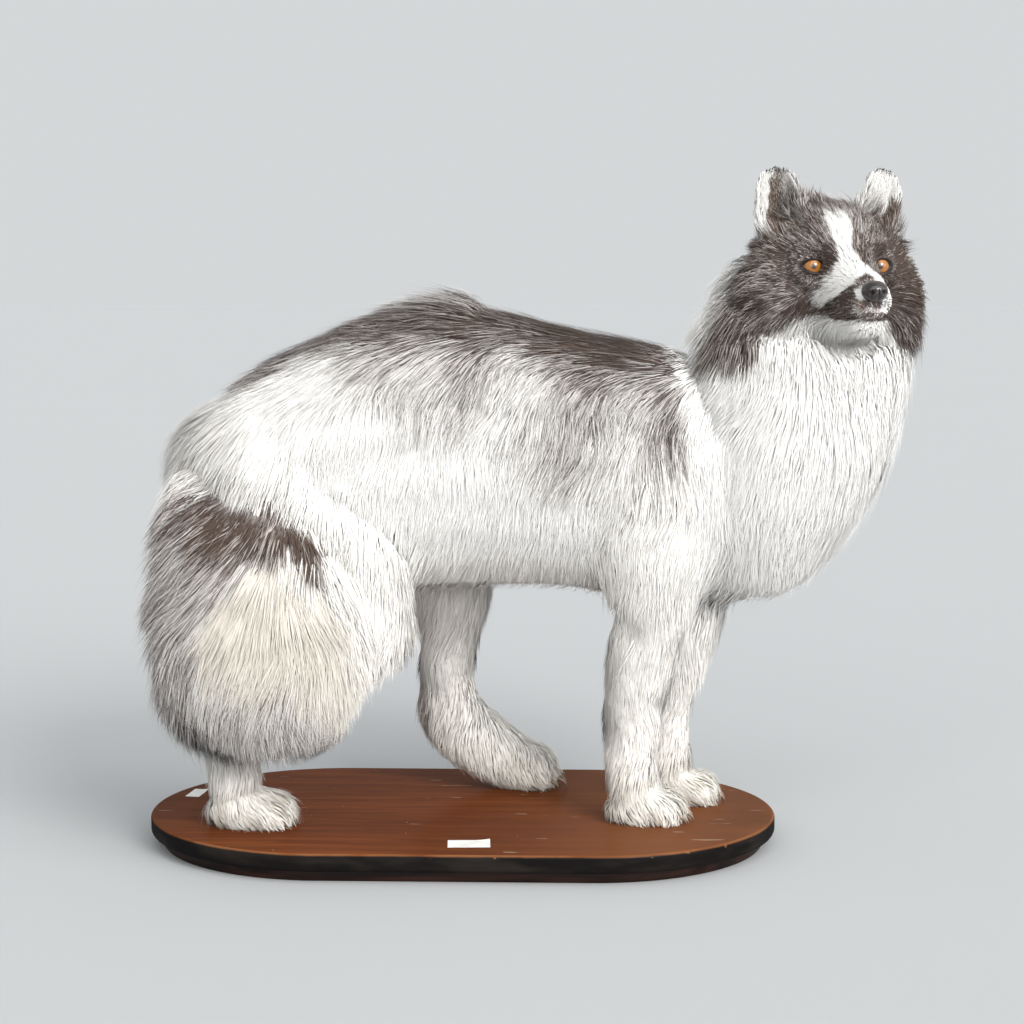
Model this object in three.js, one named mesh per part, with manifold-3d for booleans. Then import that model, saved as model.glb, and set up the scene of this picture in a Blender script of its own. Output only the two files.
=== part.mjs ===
// A marble fox, mounted standing on an oval board, with its head turned to its right.
//
// Units are millimetres and +Z is up. The origin is the centre of the underside of the base. The fox faces
// +X, its left side faces +Y, and its head looks towards -Y. Every solid of flesh is drawn out to the tips of
// the coat, so the silhouettes are those of the finished animal, fur included.

import * as THREE from 'three';
import { mergeVertices } from 'three/addons/utils/BufferGeometryUtils.js';
import Module from 'manifold-3d';

const wasm = await Module();
wasm.setup();

// ---------------------------------------------------------------- driving dimensions

const GAP = 0.3;              // clear space between two pieces that meet

const BASE_LENGTH = 560;      // the board, along X
const BASE_WIDTH = 330;       // the board, along Y; its ends are full half rounds
const BOARD_THICK = 16;
const BOARD_ROUND = 5;        // radius of the rounded edge of the board
const PLINTH_THICK = 10;      // the lower tier, set back under the board
const PLINTH_INSET = 11;
const DECK = PLINTH_THICK + BOARD_THICK;   // height of the top face that the feet stand on

const BACK_HEIGHT = 486;      // crown of the back, coat included, above the underside of the base
const BODY_HALF_WIDTH = 100;  // the barrel at its widest, coat included

const FORE_X = 151;           // wrist of the right foreleg
const FORE_RIGHT_Y = -42;
const FORE_LEFT_Y = 33;
const FORE_STEP = 32;         // how far the left forefoot stands ahead of the right one
const ELBOW_RIGHT_X = 168;    // the forelegs lean forward a little from wrist to elbow
const ELBOW_LEFT_X = 206;
const HIND_RIGHT_X = -198;    // upright metatarsus of the right hind leg
const HIND_RIGHT_Y = -66;
const HIND_LEFT_Y = 88;
const PAW_HALF_WIDTH = 26;

const HEAD_AT = [330, -68, 512];   // midpoint between the eyes
const HEAD_TURN = 16;              // degrees that the face points ahead of -Y
const EYE_HALF_SPACING = 30;
const EYE_RADIUS = 9.5;
const EYE_DEPTH = -4;              // centre of the eyeball, behind the midpoint between the eyes
const NOSE_TIP = 73;               // ahead of the midpoint between the eyes
const NOSE_DROP = -22.5;
const CHEEK_HALF_WIDTH = 75;
const EAR_TURN = 10;               // degrees that an ear's opening is turned outwards from the face
const EAR_WALL = 4.5;

const COLOURS = {
  coat: { color: 0xe9e4da, roughness: 0.9 },
  grizzle: { color: 0x5b5352, roughness: 0.9 },
  glass_eye: { color: 0xc26a12, roughness: 0.08 },
  nose_leather: { color: 0x1d1715, roughness: 0.3 },
  board: { color: 0x8a4a26, roughness: 0.35 },
  plinth: { color: 0x2a1711, roughness: 0.5 },
};

// ---------------------------------------------------------------- solids

/** A closed geometry as a solid that can be joined and cut. */
function solidOf(geometry) {
  const bare = geometry.index ? geometry.clone() : geometry;
  bare.deleteAttribute('normal');
  bare.deleteAttribute('uv');
  const merged = mergeVertices(bare, 1e-4);
  return new wasm.Manifold(new wasm.Mesh({
    numProp: 3,
    vertProperties: new Float32Array(merged.attributes.position.array),
    triVerts: new Uint32Array(merged.index.array),
  }));
}

/** A solid as a geometry again. */
function geometryOf(solid) {
  const mesh = solid.getMesh();
  const geometry = new THREE.BufferGeometry();
  geometry.setAttribute('position', new THREE.BufferAttribute(new Float32Array(mesh.vertProperties), 3));
  geometry.setIndex(new THREE.BufferAttribute(new Uint32Array(mesh.triVerts), 1));
  return geometry;
}

/**
 * A rounded limb: ellipses strung along a smooth path and closed by domed ends.
 * Each station is [x, y, z, across, through]: a point of the path, the half width of the ellipse along
 * `side` and its half depth square to both `side` and the path. `grow` swells the whole limb.
 */
function limb(stations, { side = [0, 1, 0], dome = 0.12, around = 14, along = 12, grow = 0 } = {}) {
  const path = new THREE.CatmullRomCurve3(stations.map(([x, y, z]) => new THREE.Vector3(x, y, z)));
  const girth = new THREE.CatmullRomCurve3(stations.map(([, , , a, b]) => new THREE.Vector3(a, b, 0)));
  const lateral = new THREE.Vector3(...side).normalize();
  const geometry = new THREE.SphereGeometry(1, around, along);
  const vertices = geometry.attributes.position;
  const unit = new THREE.Vector3();
  for (let i = 0; i < vertices.count; i += 1) {
    unit.fromBufferAttribute(vertices, i);
    const run = Math.acos(THREE.MathUtils.clamp(unit.y, -1, 1)) / Math.PI;
    const ring = Math.hypot(unit.x, unit.z);
    const toEnd = Math.min(run, 1 - run) / dome;
    const swell = toEnd < 1 ? Math.sqrt(1 - (1 - toEnd) ** 2) : 1;
    const tangent = path.getTangent(run);
    const across = lateral.clone().addScaledVector(tangent, -lateral.dot(tangent)).normalize();
    const through = tangent.clone().cross(across);
    const half = girth.getPoint(run);
    const at = path.getPoint(run).addScaledVector(tangent, grow * (run < 0.5 ? -1 : 1) * (1 - swell));
    if (ring > 1e-6) {
      at.addScaledVector(across, (unit.x / ring) * (half.x * swell + grow));
      at.addScaledVector(through, (unit.z / ring) * (half.y * swell + grow));
    }
    vertices.setXYZ(i, at.x, at.y, at.z);
  }
  return solidOf(geometry);
}

/** Several limbs joined into one solid. */
function joined(limbs) {
  return limbs.reduce((whole, next) => whole.add(next));
}

// ---------------------------------------------------------------- base

/** An oval outline with straight sides and half-round ends. */
function oval(length, width) {
  const radius = width / 2;
  const straight = length / 2 - radius;
  const shape = new THREE.Shape();
  shape.absarc(straight, 0, radius, -Math.PI / 2, Math.PI / 2, false);
  shape.absarc(-straight, 0, radius, Math.PI / 2, (3 * Math.PI) / 2, false);
  return shape;
}

function baseBoard() {
  const flat = BOARD_THICK - 2 * BOARD_ROUND;
  const geometry = new THREE.ExtrudeGeometry(oval(BASE_LENGTH - 2 * BOARD_ROUND, BASE_WIDTH - 2 * BOARD_ROUND), {
    depth: flat, curveSegments: 14, bevelThickness: BOARD_ROUND, bevelSize: BOARD_ROUND, bevelSegments: 2,
  });
  geometry.translate(0, 0, PLINTH_THICK + BOARD_ROUND);
  return solidOf(geometry);
}

function basePlinth() {
  const outline = oval(BASE_LENGTH - 2 * PLINTH_INSET, BASE_WIDTH - 2 * PLINTH_INSET);
  const depth = PLINTH_THICK - GAP;
  return solidOf(new THREE.ExtrudeGeometry(outline, { depth, curveSegments: 14, bevelEnabled: false }));
}

// ---------------------------------------------------------------- trunk, neck and tail

function trunk(grow = 0) {
  const topToBelly = (x, top, belly, halfWidth) => [x, 0, (top + belly) / 2, halfWidth, (top - belly) / 2];
  return limb([
    topToBelly(-266, 372, 302, 44),
    topToBelly(-234, 397, 276, 66),
    topToBelly(-185, 420, 248, 86),
    topToBelly(-130, 450, 234, BODY_HALF_WIDTH - 2),
    topToBelly(-70, 474, 226, BODY_HALF_WIDTH),
    topToBelly(-10, BACK_HEIGHT, 228, BODY_HALF_WIDTH - 4),
    topToBelly(50, 474, 229, BODY_HALF_WIDTH - 5),
    topToBelly(110, 460, 228, BODY_HALF_WIDTH - 2),
    topToBelly(170, 451, 216, BODY_HALF_WIDTH - 4),
    topToBelly(225, 440, 218, 84),
    topToBelly(280, 400, 246, 56),
  ], { around: 20, along: 17, dome: 0.09, grow });
}

function neck(grow = 0) {
  return limb([
    [244, 0, 219, 38, 34],
    [252, 0, 248, 56, 54],
    [266, -3, 296, 80, 82],
    [280, -6, 350, 92, 95],
    [292, -10, 405, 92, 98],
    [301, -9, 455, 78, 93],
    [308, -2, 505, 58, 80],
    [314, 4, 548, 40, 58],
  ], { around: 18, along: 13, dome: 0.1, grow });
}

function tail(grow = 0) {
  return limb([
    [-205, -20, 350, 34, 36],
    [-204, -62, 305, 46, 52],
    [-187, -95, 262, 54, 80],
    [-170, -108, 212, 56, 99],
    [-167, -110, 170, 54, 101],
    [-177, -108, 124, 44, 78],
    [-188, -104, 80, 23, 40],
  ], { around: 16, along: 13, dome: 0.14, grow });
}

// ---------------------------------------------------------------- legs

/** A foot with its toes towards +X; `heel` and `toe` are its two ends along X. It is sunk a little. */
function paw(heel, toe, y, grow) {
  const at = (share) => heel + (toe - heel) * share;
  return limb([
    [at(0), y, DECK + 15, PAW_HALF_WIDTH * 0.9, 25],
    [at(0.35), y, DECK + 14, PAW_HALF_WIDTH, 26],
    [at(0.7), y, DECK + 12, PAW_HALF_WIDTH * 1.04, 24],
    [at(1), y, DECK + 11, PAW_HALF_WIDTH * 0.9, 22],
  ], { around: 14, along: 9, dome: 0.42, grow });
}

/** What lies above the deck: the feet end on flats there. */
function aboveDeck(solid, grow) {
  const top = DECK + GAP - grow;
  const under = new THREE.BoxGeometry(BASE_LENGTH, BASE_WIDTH, top);
  under.translate(0, 0, top / 2);
  return solid.subtract(solidOf(under));
}

/** A foreleg from the shoulder down; the two differ in where they stand and how they lean. */
function foreleg(wristX, elbowX, y, grow = 0) {
  const out = Math.sign(y);
  const shank = limb([
    [166, y + out * 20, 345, 36, 50],
    [elbowX * 0.5 + 84, y + out * 14, 280, 38, 48],
    [elbowX, y + out * 6, 218, 33, 36],
    [elbowX * 0.4 + wristX * 0.6 + 2, y + out * 2, 174, 29, 34],
    [wristX + 1, y, 130, 25.5, 27],
    [wristX - 1, y, 92, 24, 25],
    [wristX + 3, y, DECK + 26, 26, 29],
  ], { along: 12, dome: 0.12, grow });
  return aboveDeck(joined([shank, paw(wristX - 27, wristX + 50, y, grow)]), grow);
}

function hindlegRight(grow = 0) {
  const y = HIND_RIGHT_Y;
  const x = HIND_RIGHT_X;
  const haunch = limb([
    [-188, y + 20, 385, 34, 40],
    [-158, y + 6, 330, 44, 66],
    [-116, y, 268, 42, 68],
    [-86, y - 2, 212, 36, 53],
    [-68, y - 2, 178, 30, 40],
    [-60, y - 2, 148, 18, 24],
  ], { along: 12, dome: 0.16, grow });
  const shank = limb([
    [-92, y, 222, 30, 36],
    [-140, y, 176, 27, 32],
    [x + 10, y, 136, 24, 27],
  ], { around: 12, along: 8, dome: 0.3, grow });
  const metatarsus = limb([
    [x + 3, y, 156, 22, 25],
    [x, y, 105, 22, 24],
    [x + 4, y, DECK + 16, 24, 26],
  ], { along: 8, dome: 0.24, grow });
  return aboveDeck(joined([haunch, shank, metatarsus, paw(x - 29, x + 59, y, grow)]), grow);
}

/** The left hind foot is set forward with its heel lifted, so it slopes down to the toes. */
function hindlegLeft(grow = 0) {
  const y = HIND_LEFT_Y;
  const leg = limb([
    [-70, y - 34, 335, 36, 62],
    [-42, y - 20, 280, 40, 64],
    [-18, y - 8, 225, 36, 46],
    [-17, y - 2, 175, 28, 30],
    [-19, y, 136, 26, 27],
    [-13, y, 96, 26, 34],
    [18, y, 66, 28, 33],
    [56, y, DECK + 21, 29, 27],
    [89, y, DECK + 15, 26, 23],
  ], { along: 18, dome: 0.09, grow });
  return aboveDeck(leg, grow);
}

// ---------------------------------------------------------------- head

const turn = THREE.MathUtils.degToRad(HEAD_TURN);
const FORWARD = new THREE.Vector3(Math.sin(turn), -Math.cos(turn), 0);
const LEFTWARD = new THREE.Vector3(Math.cos(turn), Math.sin(turn), 0);

/** A station in the head's own frame: towards its left, forward, up, then the two half sizes. */
function headStation([left, forward, up, across, through]) {
  const at = new THREE.Vector3(...HEAD_AT).addScaledVector(LEFTWARD, left).addScaledVector(FORWARD, forward);
  return [at.x, at.y, at.z + up, across, through];
}

function headLimb(stations, options) {
  return limb(stations.map(headStation), { side: LEFTWARD.toArray(), ...options });
}

function head(grow = 0) {
  const skull = headLimb([
    [0, -100, 6, 34, 32],
    [0, -80, 2, 60, 48],
    [0, -50, 0, 68, 55],
    [0, -24, -2, 58, 54],
    [0, -8, -8, 40, 44],
    [0, 6, -15, 29, 35],
    [0, 24, -25, 25, 29],
    [0, 44, -34, 22, 24],
    [0, 62, -39, 18, 21],
    [0, NOSE_TIP - 3, -40, 13, 18],
  ], { around: 16, along: 15, dome: 0.1, grow });
  const ruff = limb([
    [-CHEEK_HALF_WIDTH, -38, -46, 22, 40],
    [-60, -38, -38, 30, 58],
    [-32, -38, -28, 32, 60],
    [0, -38, -24, 32, 58],
    [32, -38, -28, 32, 60],
    [60, -38, -38, 30, 58],
    [CHEEK_HALF_WIDTH, -38, -46, 22, 40],
  ].map(headStation), { side: FORWARD.clone().negate().toArray(), around: 14, along: 11, dome: 0.14, grow });
  return joined([skull, ruff]);
}

/** `side` is -1 for the right and 1 for the left. */
function eye(side, grow = 0) {
  const [x, y, z] = headStation([side * EYE_HALF_SPACING, EYE_DEPTH, 0]);
  const geometry = new THREE.SphereGeometry(EYE_RADIUS + grow, 12, 8);
  geometry.rotateX(Math.PI / 2);
  geometry.translate(x, y, z);
  return solidOf(geometry);
}

function nose(grow = 0) {
  return headLimb([
    [0, NOSE_TIP - 16, NOSE_DROP, 8, 7],
    [0, NOSE_TIP - 9, NOSE_DROP, 11.5, 9.5],
    [0, NOSE_TIP, NOSE_DROP - 1, 9, 7.5],
  ], { around: 12, along: 7, dome: 0.35, grow });
}

/** A cupped ear with a rounded tip: a flat limb hollowed from the front. */
function ear(side, grow = 0) {
  const opening = THREE.MathUtils.degToRad(EAR_TURN);
  const width = LEFTWARD.clone().multiplyScalar(Math.cos(opening))
    .addScaledVector(FORWARD, -side * Math.sin(opening));
  const blade = (inset, ahead) => [
    [side * 40, -42 + ahead, 26 + inset, 25 - inset, 15 - inset],
    [side * 45, -40 + ahead, 46, 25 - inset, 13 - inset],
    [side * 50, -38 + ahead, 68, 20 - inset, 10 - inset],
    [side * 53, -37 + ahead, 88 - inset * 0.6, 12 - inset * 0.5, 6 - inset * 0.5],
  ].map(headStation);
  const shell = limb(blade(0, 0), { side: width.toArray(), around: 12, along: 9, dome: 0.22, grow });
  if (grow > 0) return shell;
  return shell.subtract(limb(blade(EAR_WALL, 8), { side: width.toArray(), around: 12, along: 9, dome: 0.22 }));
}

// ---------------------------------------------------------------- assembly

const RIGHT = -1;
const LEFT = 1;

/** Each piece, the finish of its surface, its shape, and the earlier pieces that it is cut clear of. */
const PIECES = {
  base_plinth: ['plinth', basePlinth, []],
  base_board: ['board', baseBoard, []],
  eye_right: ['glass_eye', (grow) => eye(RIGHT, grow), []],
  eye_left: ['glass_eye', (grow) => eye(LEFT, grow), []],
  nose: ['nose_leather', nose, []],
  ear_right: ['coat', (grow) => ear(RIGHT, grow), []],
  ear_left: ['coat', (grow) => ear(LEFT, grow), []],
  head: ['grizzle', head, ['eye_right', 'eye_left', 'nose', 'ear_right', 'ear_left']],
  foreleg_right: ['coat', (grow) => foreleg(FORE_X, ELBOW_RIGHT_X, FORE_RIGHT_Y, grow), []],
  foreleg_left: ['coat', (grow) => foreleg(FORE_X + FORE_STEP, ELBOW_LEFT_X, FORE_LEFT_Y, grow), ['foreleg_right']],
  hindleg_right: ['coat', hindlegRight, []],
  hindleg_left: ['coat', hindlegLeft, []],
  tail: ['coat', tail, ['hindleg_right']],
  neck: ['coat', neck, ['head', 'foreleg_right', 'foreleg_left']],
  trunk: ['coat', trunk,
    ['neck', 'tail', 'foreleg_right', 'foreleg_left', 'hindleg_right', 'hindleg_left']],
};

const group = new THREE.Group();
for (const [name, [finish, shape, cutters]] of Object.entries(PIECES)) {
  const solid = cutters.reduce((rest, cutter) => rest.subtract(PIECES[cutter][1](GAP)), shape(0));
  const mesh = new THREE.Mesh(geometryOf(solid), new THREE.MeshStandardMaterial(COLOURS[finish]));
  mesh.name = name;
  group.add(mesh);
}

export default group;
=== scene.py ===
"""A marble fox, mounted standing on an oval board: hide, coat, eyes, nose and varnished base.

Lengths in the tables are millimetres, and MM turns them into Blender's metres. +X is the way the body faces,
+Y the fox's left side, +Z up. Places on the head are given in the head's own frame: left, forward, up.
"""

import math
from collections import namedtuple

import bmesh
import bpy
import numpy as np
from mathutils import Matrix, Vector
from mathutils.bvhtree import BVHTree
from mathutils.kdtree import KDTree


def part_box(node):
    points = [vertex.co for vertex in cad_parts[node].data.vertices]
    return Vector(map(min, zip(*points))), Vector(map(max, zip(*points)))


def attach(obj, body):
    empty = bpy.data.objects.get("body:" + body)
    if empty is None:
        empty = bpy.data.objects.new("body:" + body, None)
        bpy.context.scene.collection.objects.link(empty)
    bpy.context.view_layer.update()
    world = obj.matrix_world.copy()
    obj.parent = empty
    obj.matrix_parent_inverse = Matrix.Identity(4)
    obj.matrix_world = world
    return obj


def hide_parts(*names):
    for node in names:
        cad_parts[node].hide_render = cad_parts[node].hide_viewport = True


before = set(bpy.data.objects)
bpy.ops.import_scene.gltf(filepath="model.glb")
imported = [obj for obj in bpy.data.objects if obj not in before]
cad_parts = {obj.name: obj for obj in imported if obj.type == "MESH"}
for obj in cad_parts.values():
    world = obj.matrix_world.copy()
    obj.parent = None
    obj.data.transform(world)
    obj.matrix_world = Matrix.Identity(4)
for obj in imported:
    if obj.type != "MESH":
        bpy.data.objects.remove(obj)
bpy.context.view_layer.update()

MM = 0.001
rng = np.random.default_rng(20260411)


# ------------------------------------------------------------------ places taken from the frame

def centre(node):
    low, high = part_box(node)
    return (np.array(low) + np.array(high)) / 2


# The nodes that hide and coat stand for.
FLESH = ("trunk", "neck", "head", "tail", "ear_right", "ear_left",
         "foreleg_right", "foreleg_left", "hindleg_right", "hindleg_left")
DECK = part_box("base_board")[1][2]
EYE_RIGHT = centre("eye_right")
EYE_LEFT = centre("eye_left")
EYE_RADIUS = (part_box("eye_left")[1][2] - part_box("eye_left")[0][2]) / 2
EYE_BACK = 4 * MM                      # eyeball centres, behind the head's origin
UP = np.array([0.0, 0.0, 1.0])
DOWN = -UP
AHEAD = np.array([1.0, 0.0, 0.0])
LEFTWARD = (EYE_LEFT - EYE_RIGHT) / np.linalg.norm(EYE_LEFT - EYE_RIGHT)
FORWARD = np.cross(LEFTWARD, UP)
HEAD = (EYE_LEFT + EYE_RIGHT) / 2 + FORWARD * EYE_BACK
HEAD_AXES = np.stack([LEFTWARD, FORWARD, UP])
EYES = {1: EYE_LEFT, -1: EYE_RIGHT}    # by side: 1 is the fox's left, -1 its right


def points_of(spots):
    """Places on the head, given in millimetres in the head's own frame, as metres in the world."""
    return HEAD + spots * MM @ HEAD_AXES


def head_point(left, forward, up):
    return points_of(np.array([left, forward, up]))


def head_coords(points):
    """World points in metres as left, forward and up in millimetres in the head's own frame."""
    return (np.asarray(points) - HEAD) @ HEAD_AXES.T / MM


# ------------------------------------------------------------------ small helpers

def unit(vectors):
    return vectors / np.maximum(np.linalg.norm(vectors, axis=-1, keepdims=True), 1e-12)


def smooth(low, high, value):
    """0 at `low`, 1 at `high` and a soft step between; `low` may be the larger."""
    t = np.clip((value - low) / (high - low), 0, 1)
    return t * t * (3 - 2 * t)


def bump_at(value, middle, spread):
    """1 at the middle, dying away on both sides."""
    return np.exp(-((value - middle) / spread) ** 2)


def mixed(a, b, share):
    return a + (b - a) * share


def spline(rows, t):
    """Catmull-Rom curve through the rows, at each t from 0 to 1."""
    rows = np.asarray(rows, float)
    padded = np.vstack([2 * rows[0] - rows[1], rows, 2 * rows[-1] - rows[-2]])
    place = np.clip(np.asarray(t, float), 0, 1) * (len(rows) - 1)
    i = np.minimum(place.astype(int), len(rows) - 2)
    f = (place - i)[:, None]
    a, b, c, d = padded[i], padded[i + 1], padded[i + 2], padded[i + 3]
    return 0.5 * (2 * b + (c - a) * f + (2 * a - 5 * b + 4 * c - d) * f ** 2
                  + (3 * b - a - 3 * c + d) * f ** 3)


def waves(points, size, seed):
    """A soft random field of about -1 to 1 whose swells are `size` millimetres across."""
    draw = np.random.default_rng(seed)
    total = np.zeros(len(points))
    for _ in range(7):
        direction = unit(draw.normal(size=3))
        pitch = 2 * math.pi / (size * draw.uniform(1.2, 2.8) * MM)
        total += np.sin(points @ direction * pitch + draw.uniform(0, 2 * math.pi))
    return total / 2.6


def distances(points, places):
    squares = (points ** 2).sum(1)[:, None] + (places ** 2).sum(1) - 2 * points @ places.T
    return np.sqrt(np.maximum(squares, 0))


def link(name, data):
    piece = bpy.data.objects.new(name, data)
    bpy.context.scene.collection.objects.link(piece)
    return piece


def mesh_of(bm, name):
    mesh = bpy.data.meshes.new(name)
    bm.to_mesh(mesh)
    bm.free()
    return mesh


def rows_of(items, name):
    """A vector that each of a mesh's items holds, as rows of an array."""
    flat = np.empty(len(items) * 3, np.float32)
    items.foreach_get(name, flat)
    return flat.reshape(-1, 3).astype(float)


def coords_of(mesh):
    return rows_of(mesh.vertices, "co")


def set_coords(mesh, points):
    mesh.vertices.foreach_set("co", np.asarray(points, np.float32).ravel())
    mesh.update()


def normals_of(mesh):
    return rows_of(mesh.vertex_normals, "vector")


def shade_smooth(mesh):
    mesh.polygons.foreach_set("use_smooth", np.ones(len(mesh.polygons), bool))
    mesh.update()


def smooth_mesh(bm, name):
    """The mesh of a smooth closed piece, its faces turned outwards."""
    bmesh.ops.recalc_face_normals(bm, faces=bm.faces[:])
    mesh = mesh_of(bm, name)
    shade_smooth(mesh)
    return mesh


def set_attributes(mesh, **values):
    """Numbers at the mesh's vertices, for its material to read by name."""
    for name, numbers in values.items():
        made = mesh.attributes.new(name, "FLOAT", "POINT")
        made.data.foreach_set("value", np.asarray(numbers, np.float32))


def finished(name, mesh, slot, material, *nodes):
    """A piece in its place: it rides with the fox and stands for the nodes it replaces. Its slot is not
    used.
    """
    piece = link(name, mesh)
    mesh.materials.append(material)
    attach(piece, "root")
    if nodes:
        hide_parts(*nodes)


# ------------------------------------------------------------------ forms: the rounded masses under the coat

Form = namedtuple("Form", "region rows side dome around along")


def form(region, rows, side=(0, 1, 0), dome=0.12, around=32, along=32):
    """Ellipses strung along a smooth path and closed by domed ends.

    A row is x, y, z, half width along `side`, half depth square to `side` and the path, in millimetres.
    """
    return Form(region, np.asarray(rows, float), np.asarray(side, float), dome, around, along)


def head_form(region, rows, side=None, **options):
    """A form whose rows start with left, forward, up on the head."""
    placed = [[*(head_point(*row[:3]) / MM), *row[3:]] for row in rows]
    return form(region, placed, side=LEFTWARD if side is None else side, **options)


def sections(shape, run):
    """Middle, half sizes and the two square directions of a form's section, at each run from 0 to 1."""
    step = 1e-3
    at = spline(shape.rows, run)
    tangent = unit(spline(shape.rows[:, :3], run + step) - spline(shape.rows[:, :3], run - step))
    across = unit(shape.side - tangent * (tangent @ shape.side)[:, None])
    return at[:, :3], at[:, 3:5], across, np.cross(across, tangent)


def add_form(bm, shape):
    """A ball drawn out along the form's path."""
    made = bmesh.ops.create_uvsphere(bm, u_segments=shape.around, v_segments=shape.along, radius=1.0)
    ball = np.array([vertex.co for vertex in made["verts"]])
    run = np.arccos(np.clip(ball[:, 2], -1, 1)) / math.pi
    ring = np.hypot(ball[:, 0], ball[:, 1])
    spoke = ball[:, :2] / np.maximum(ring, 1e-6)[:, None] * (ring > 1e-6)[:, None]
    to_end = np.minimum(run, 1 - run) / shape.dome
    swell = np.where(to_end < 1, np.sqrt(np.clip(1 - (1 - to_end) ** 2, 0, 1)), 1)
    middle, half, across, through = sections(shape, run)
    offset = across * (spoke[:, :1] * half[:, :1]) + through * (spoke[:, 1:] * half[:, 1:])
    points = middle + offset * swell[:, None]
    for vertex, point in zip(made["verts"], points * MM):
        vertex.co = point


def top_to_belly(x, top, belly, half_width, y=0):
    return [x, y, (top + belly) / 2, half_width, (top - belly) / 2]


def body_forms():
    return [
        form("trunk", [
            top_to_belly(-243, 356, 302, 30), top_to_belly(-212, 382, 274, 50),
            top_to_belly(-162, 410, 258, 66), top_to_belly(-105, 437, 255, 71),
            top_to_belly(-50, 457, 256, 70), top_to_belly(5, 462, 258, 67),
            top_to_belly(60, 449, 258, 67), top_to_belly(115, 434, 255, 69),
            top_to_belly(170, 424, 246, 69), top_to_belly(222, 410, 248, 58),
            top_to_belly(264, 376, 274, 38)], dome=0.08, around=48, along=56),
        form("neck", [
            [236, 0, 258, 36, 34], [250, 0, 296, 54, 56], [269, -3, 348, 64, 67],
            [286, -5, 400, 66, 70], [297, -5, 447, 58, 66], [306, -1, 487, 48, 57],
            [314, 5, 525, 38, 43]], dome=0.1, around=40, along=36),
        form("tail", [
            [-208, -8, 348, 27, 27], [-214, -46, 308, 30, 34], [-194, -82, 262, 36, 56],
            [-174, -98, 214, 38, 72], [-170, -102, 172, 36, 70], [-178, -102, 136, 26, 46]], dome=0.14),
    ]


# Where each leg's axis meets its foot, x and y, and how far the toes spread.
FEET = {"foreleg_right": (157, -42, 1.0), "foreleg_left": (189, 33, 1.0),
        "hindleg_right": (-190, -66, 1.05), "hindleg_left": (44, 88, 1.0)}
TOES = ((-1.5, -7), (-0.5, 0), (0.5, 0), (1.5, -7))    # each toe's place across the foot, and its reach
TOE_PITCH = 11.5
PAW_AHEAD = 44                         # tips of the middle toes, ahead of the leg's axis


def paw_forms(region):
    """A foot with its toes towards +X: a pad of sole, and four toes with their knuckles."""
    x, y, spread = FEET[region]
    floor = DECK / MM
    forms = [form(region, [[x - 22, y, floor + 15, 17, 14.5], [x, y, floor + 19, 20, 18.5],
                           [x + 24, y, floor + 15, 21 * spread, 14.5]], dome=0.4, around=24, along=16)]
    for place, reach in TOES:
        toe_y = y + place * TOE_PITCH * spread
        forms.append(form(region, [
            [x + 4, y + place * 8, floor + 19, 8, 11], [x + 22 + reach, toe_y, floor + 17, 8.2, 12],
            [x + PAW_AHEAD + reach, toe_y, floor + 10, 7.5, 9]], dome=0.36, around=20, along=14))
    return forms


def leg_forms():
    forms = []
    for region, elbow in (("foreleg_right", 168), ("foreleg_left", 206)):
        foot, y, _ = FEET[region]
        wrist = foot - 6
        out = math.copysign(1, y)
        forms.append(form(region, [
            [166, y + out * 12, 338, 24, 40], [elbow * 0.5 + 84, y + out * 10, 280, 28, 38],
            [elbow, y + out * 5, 222, 24, 26], [elbow * 0.4 + wrist * 0.6 + 2, y + out * 2, 176, 21.5, 26],
            [wrist + 1, y, 132, 19, 21], [wrist - 1, y, 94, 17.5, 19], [wrist + 2, y, 62, 18, 20],
            [wrist + 4, y, 44, 17, 18]], dome=0.1))
        forms += paw_forms(region)
    y = FEET["hindleg_right"][1]
    forms += [
        form("hindleg_right", [
            [-190, y + 26, 372, 20, 34], [-160, y + 14, 325, 32, 56], [-122, y + 6, 268, 32, 56],
            [-92, y + 3, 216, 27, 42], [-74, y + 2, 184, 21, 30]], dome=0.16),
        form("hindleg_right", [
            [-98, y, 214, 21, 28], [-145, y, 172, 17, 21], [-188, y, 136, 14, 17]], dome=0.26),
        form("hindleg_right", [
            [-196, y, 150, 12.5, 16], [-198, y, 105, 13.5, 15.5], [-195, y, 60, 14, 16],
            [-193, y, 44, 14, 15]], dome=0.18)]
    forms += paw_forms("hindleg_right")
    y = FEET["hindleg_left"][1]
    forms.append(form("hindleg_left", [
        [-78, y - 42, 330, 24, 46], [-48, y - 26, 280, 32, 52], [-22, y - 12, 228, 28, 37],
        [-18, y - 3, 178, 20, 24], [-20, y, 138, 18, 20], [-14, y, 97, 18, 27],
        [17, y, 67, 20, 26], [48, y, 50, 20, 19]], dome=0.09, along=44))
    return forms + paw_forms("hindleg_left")


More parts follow.
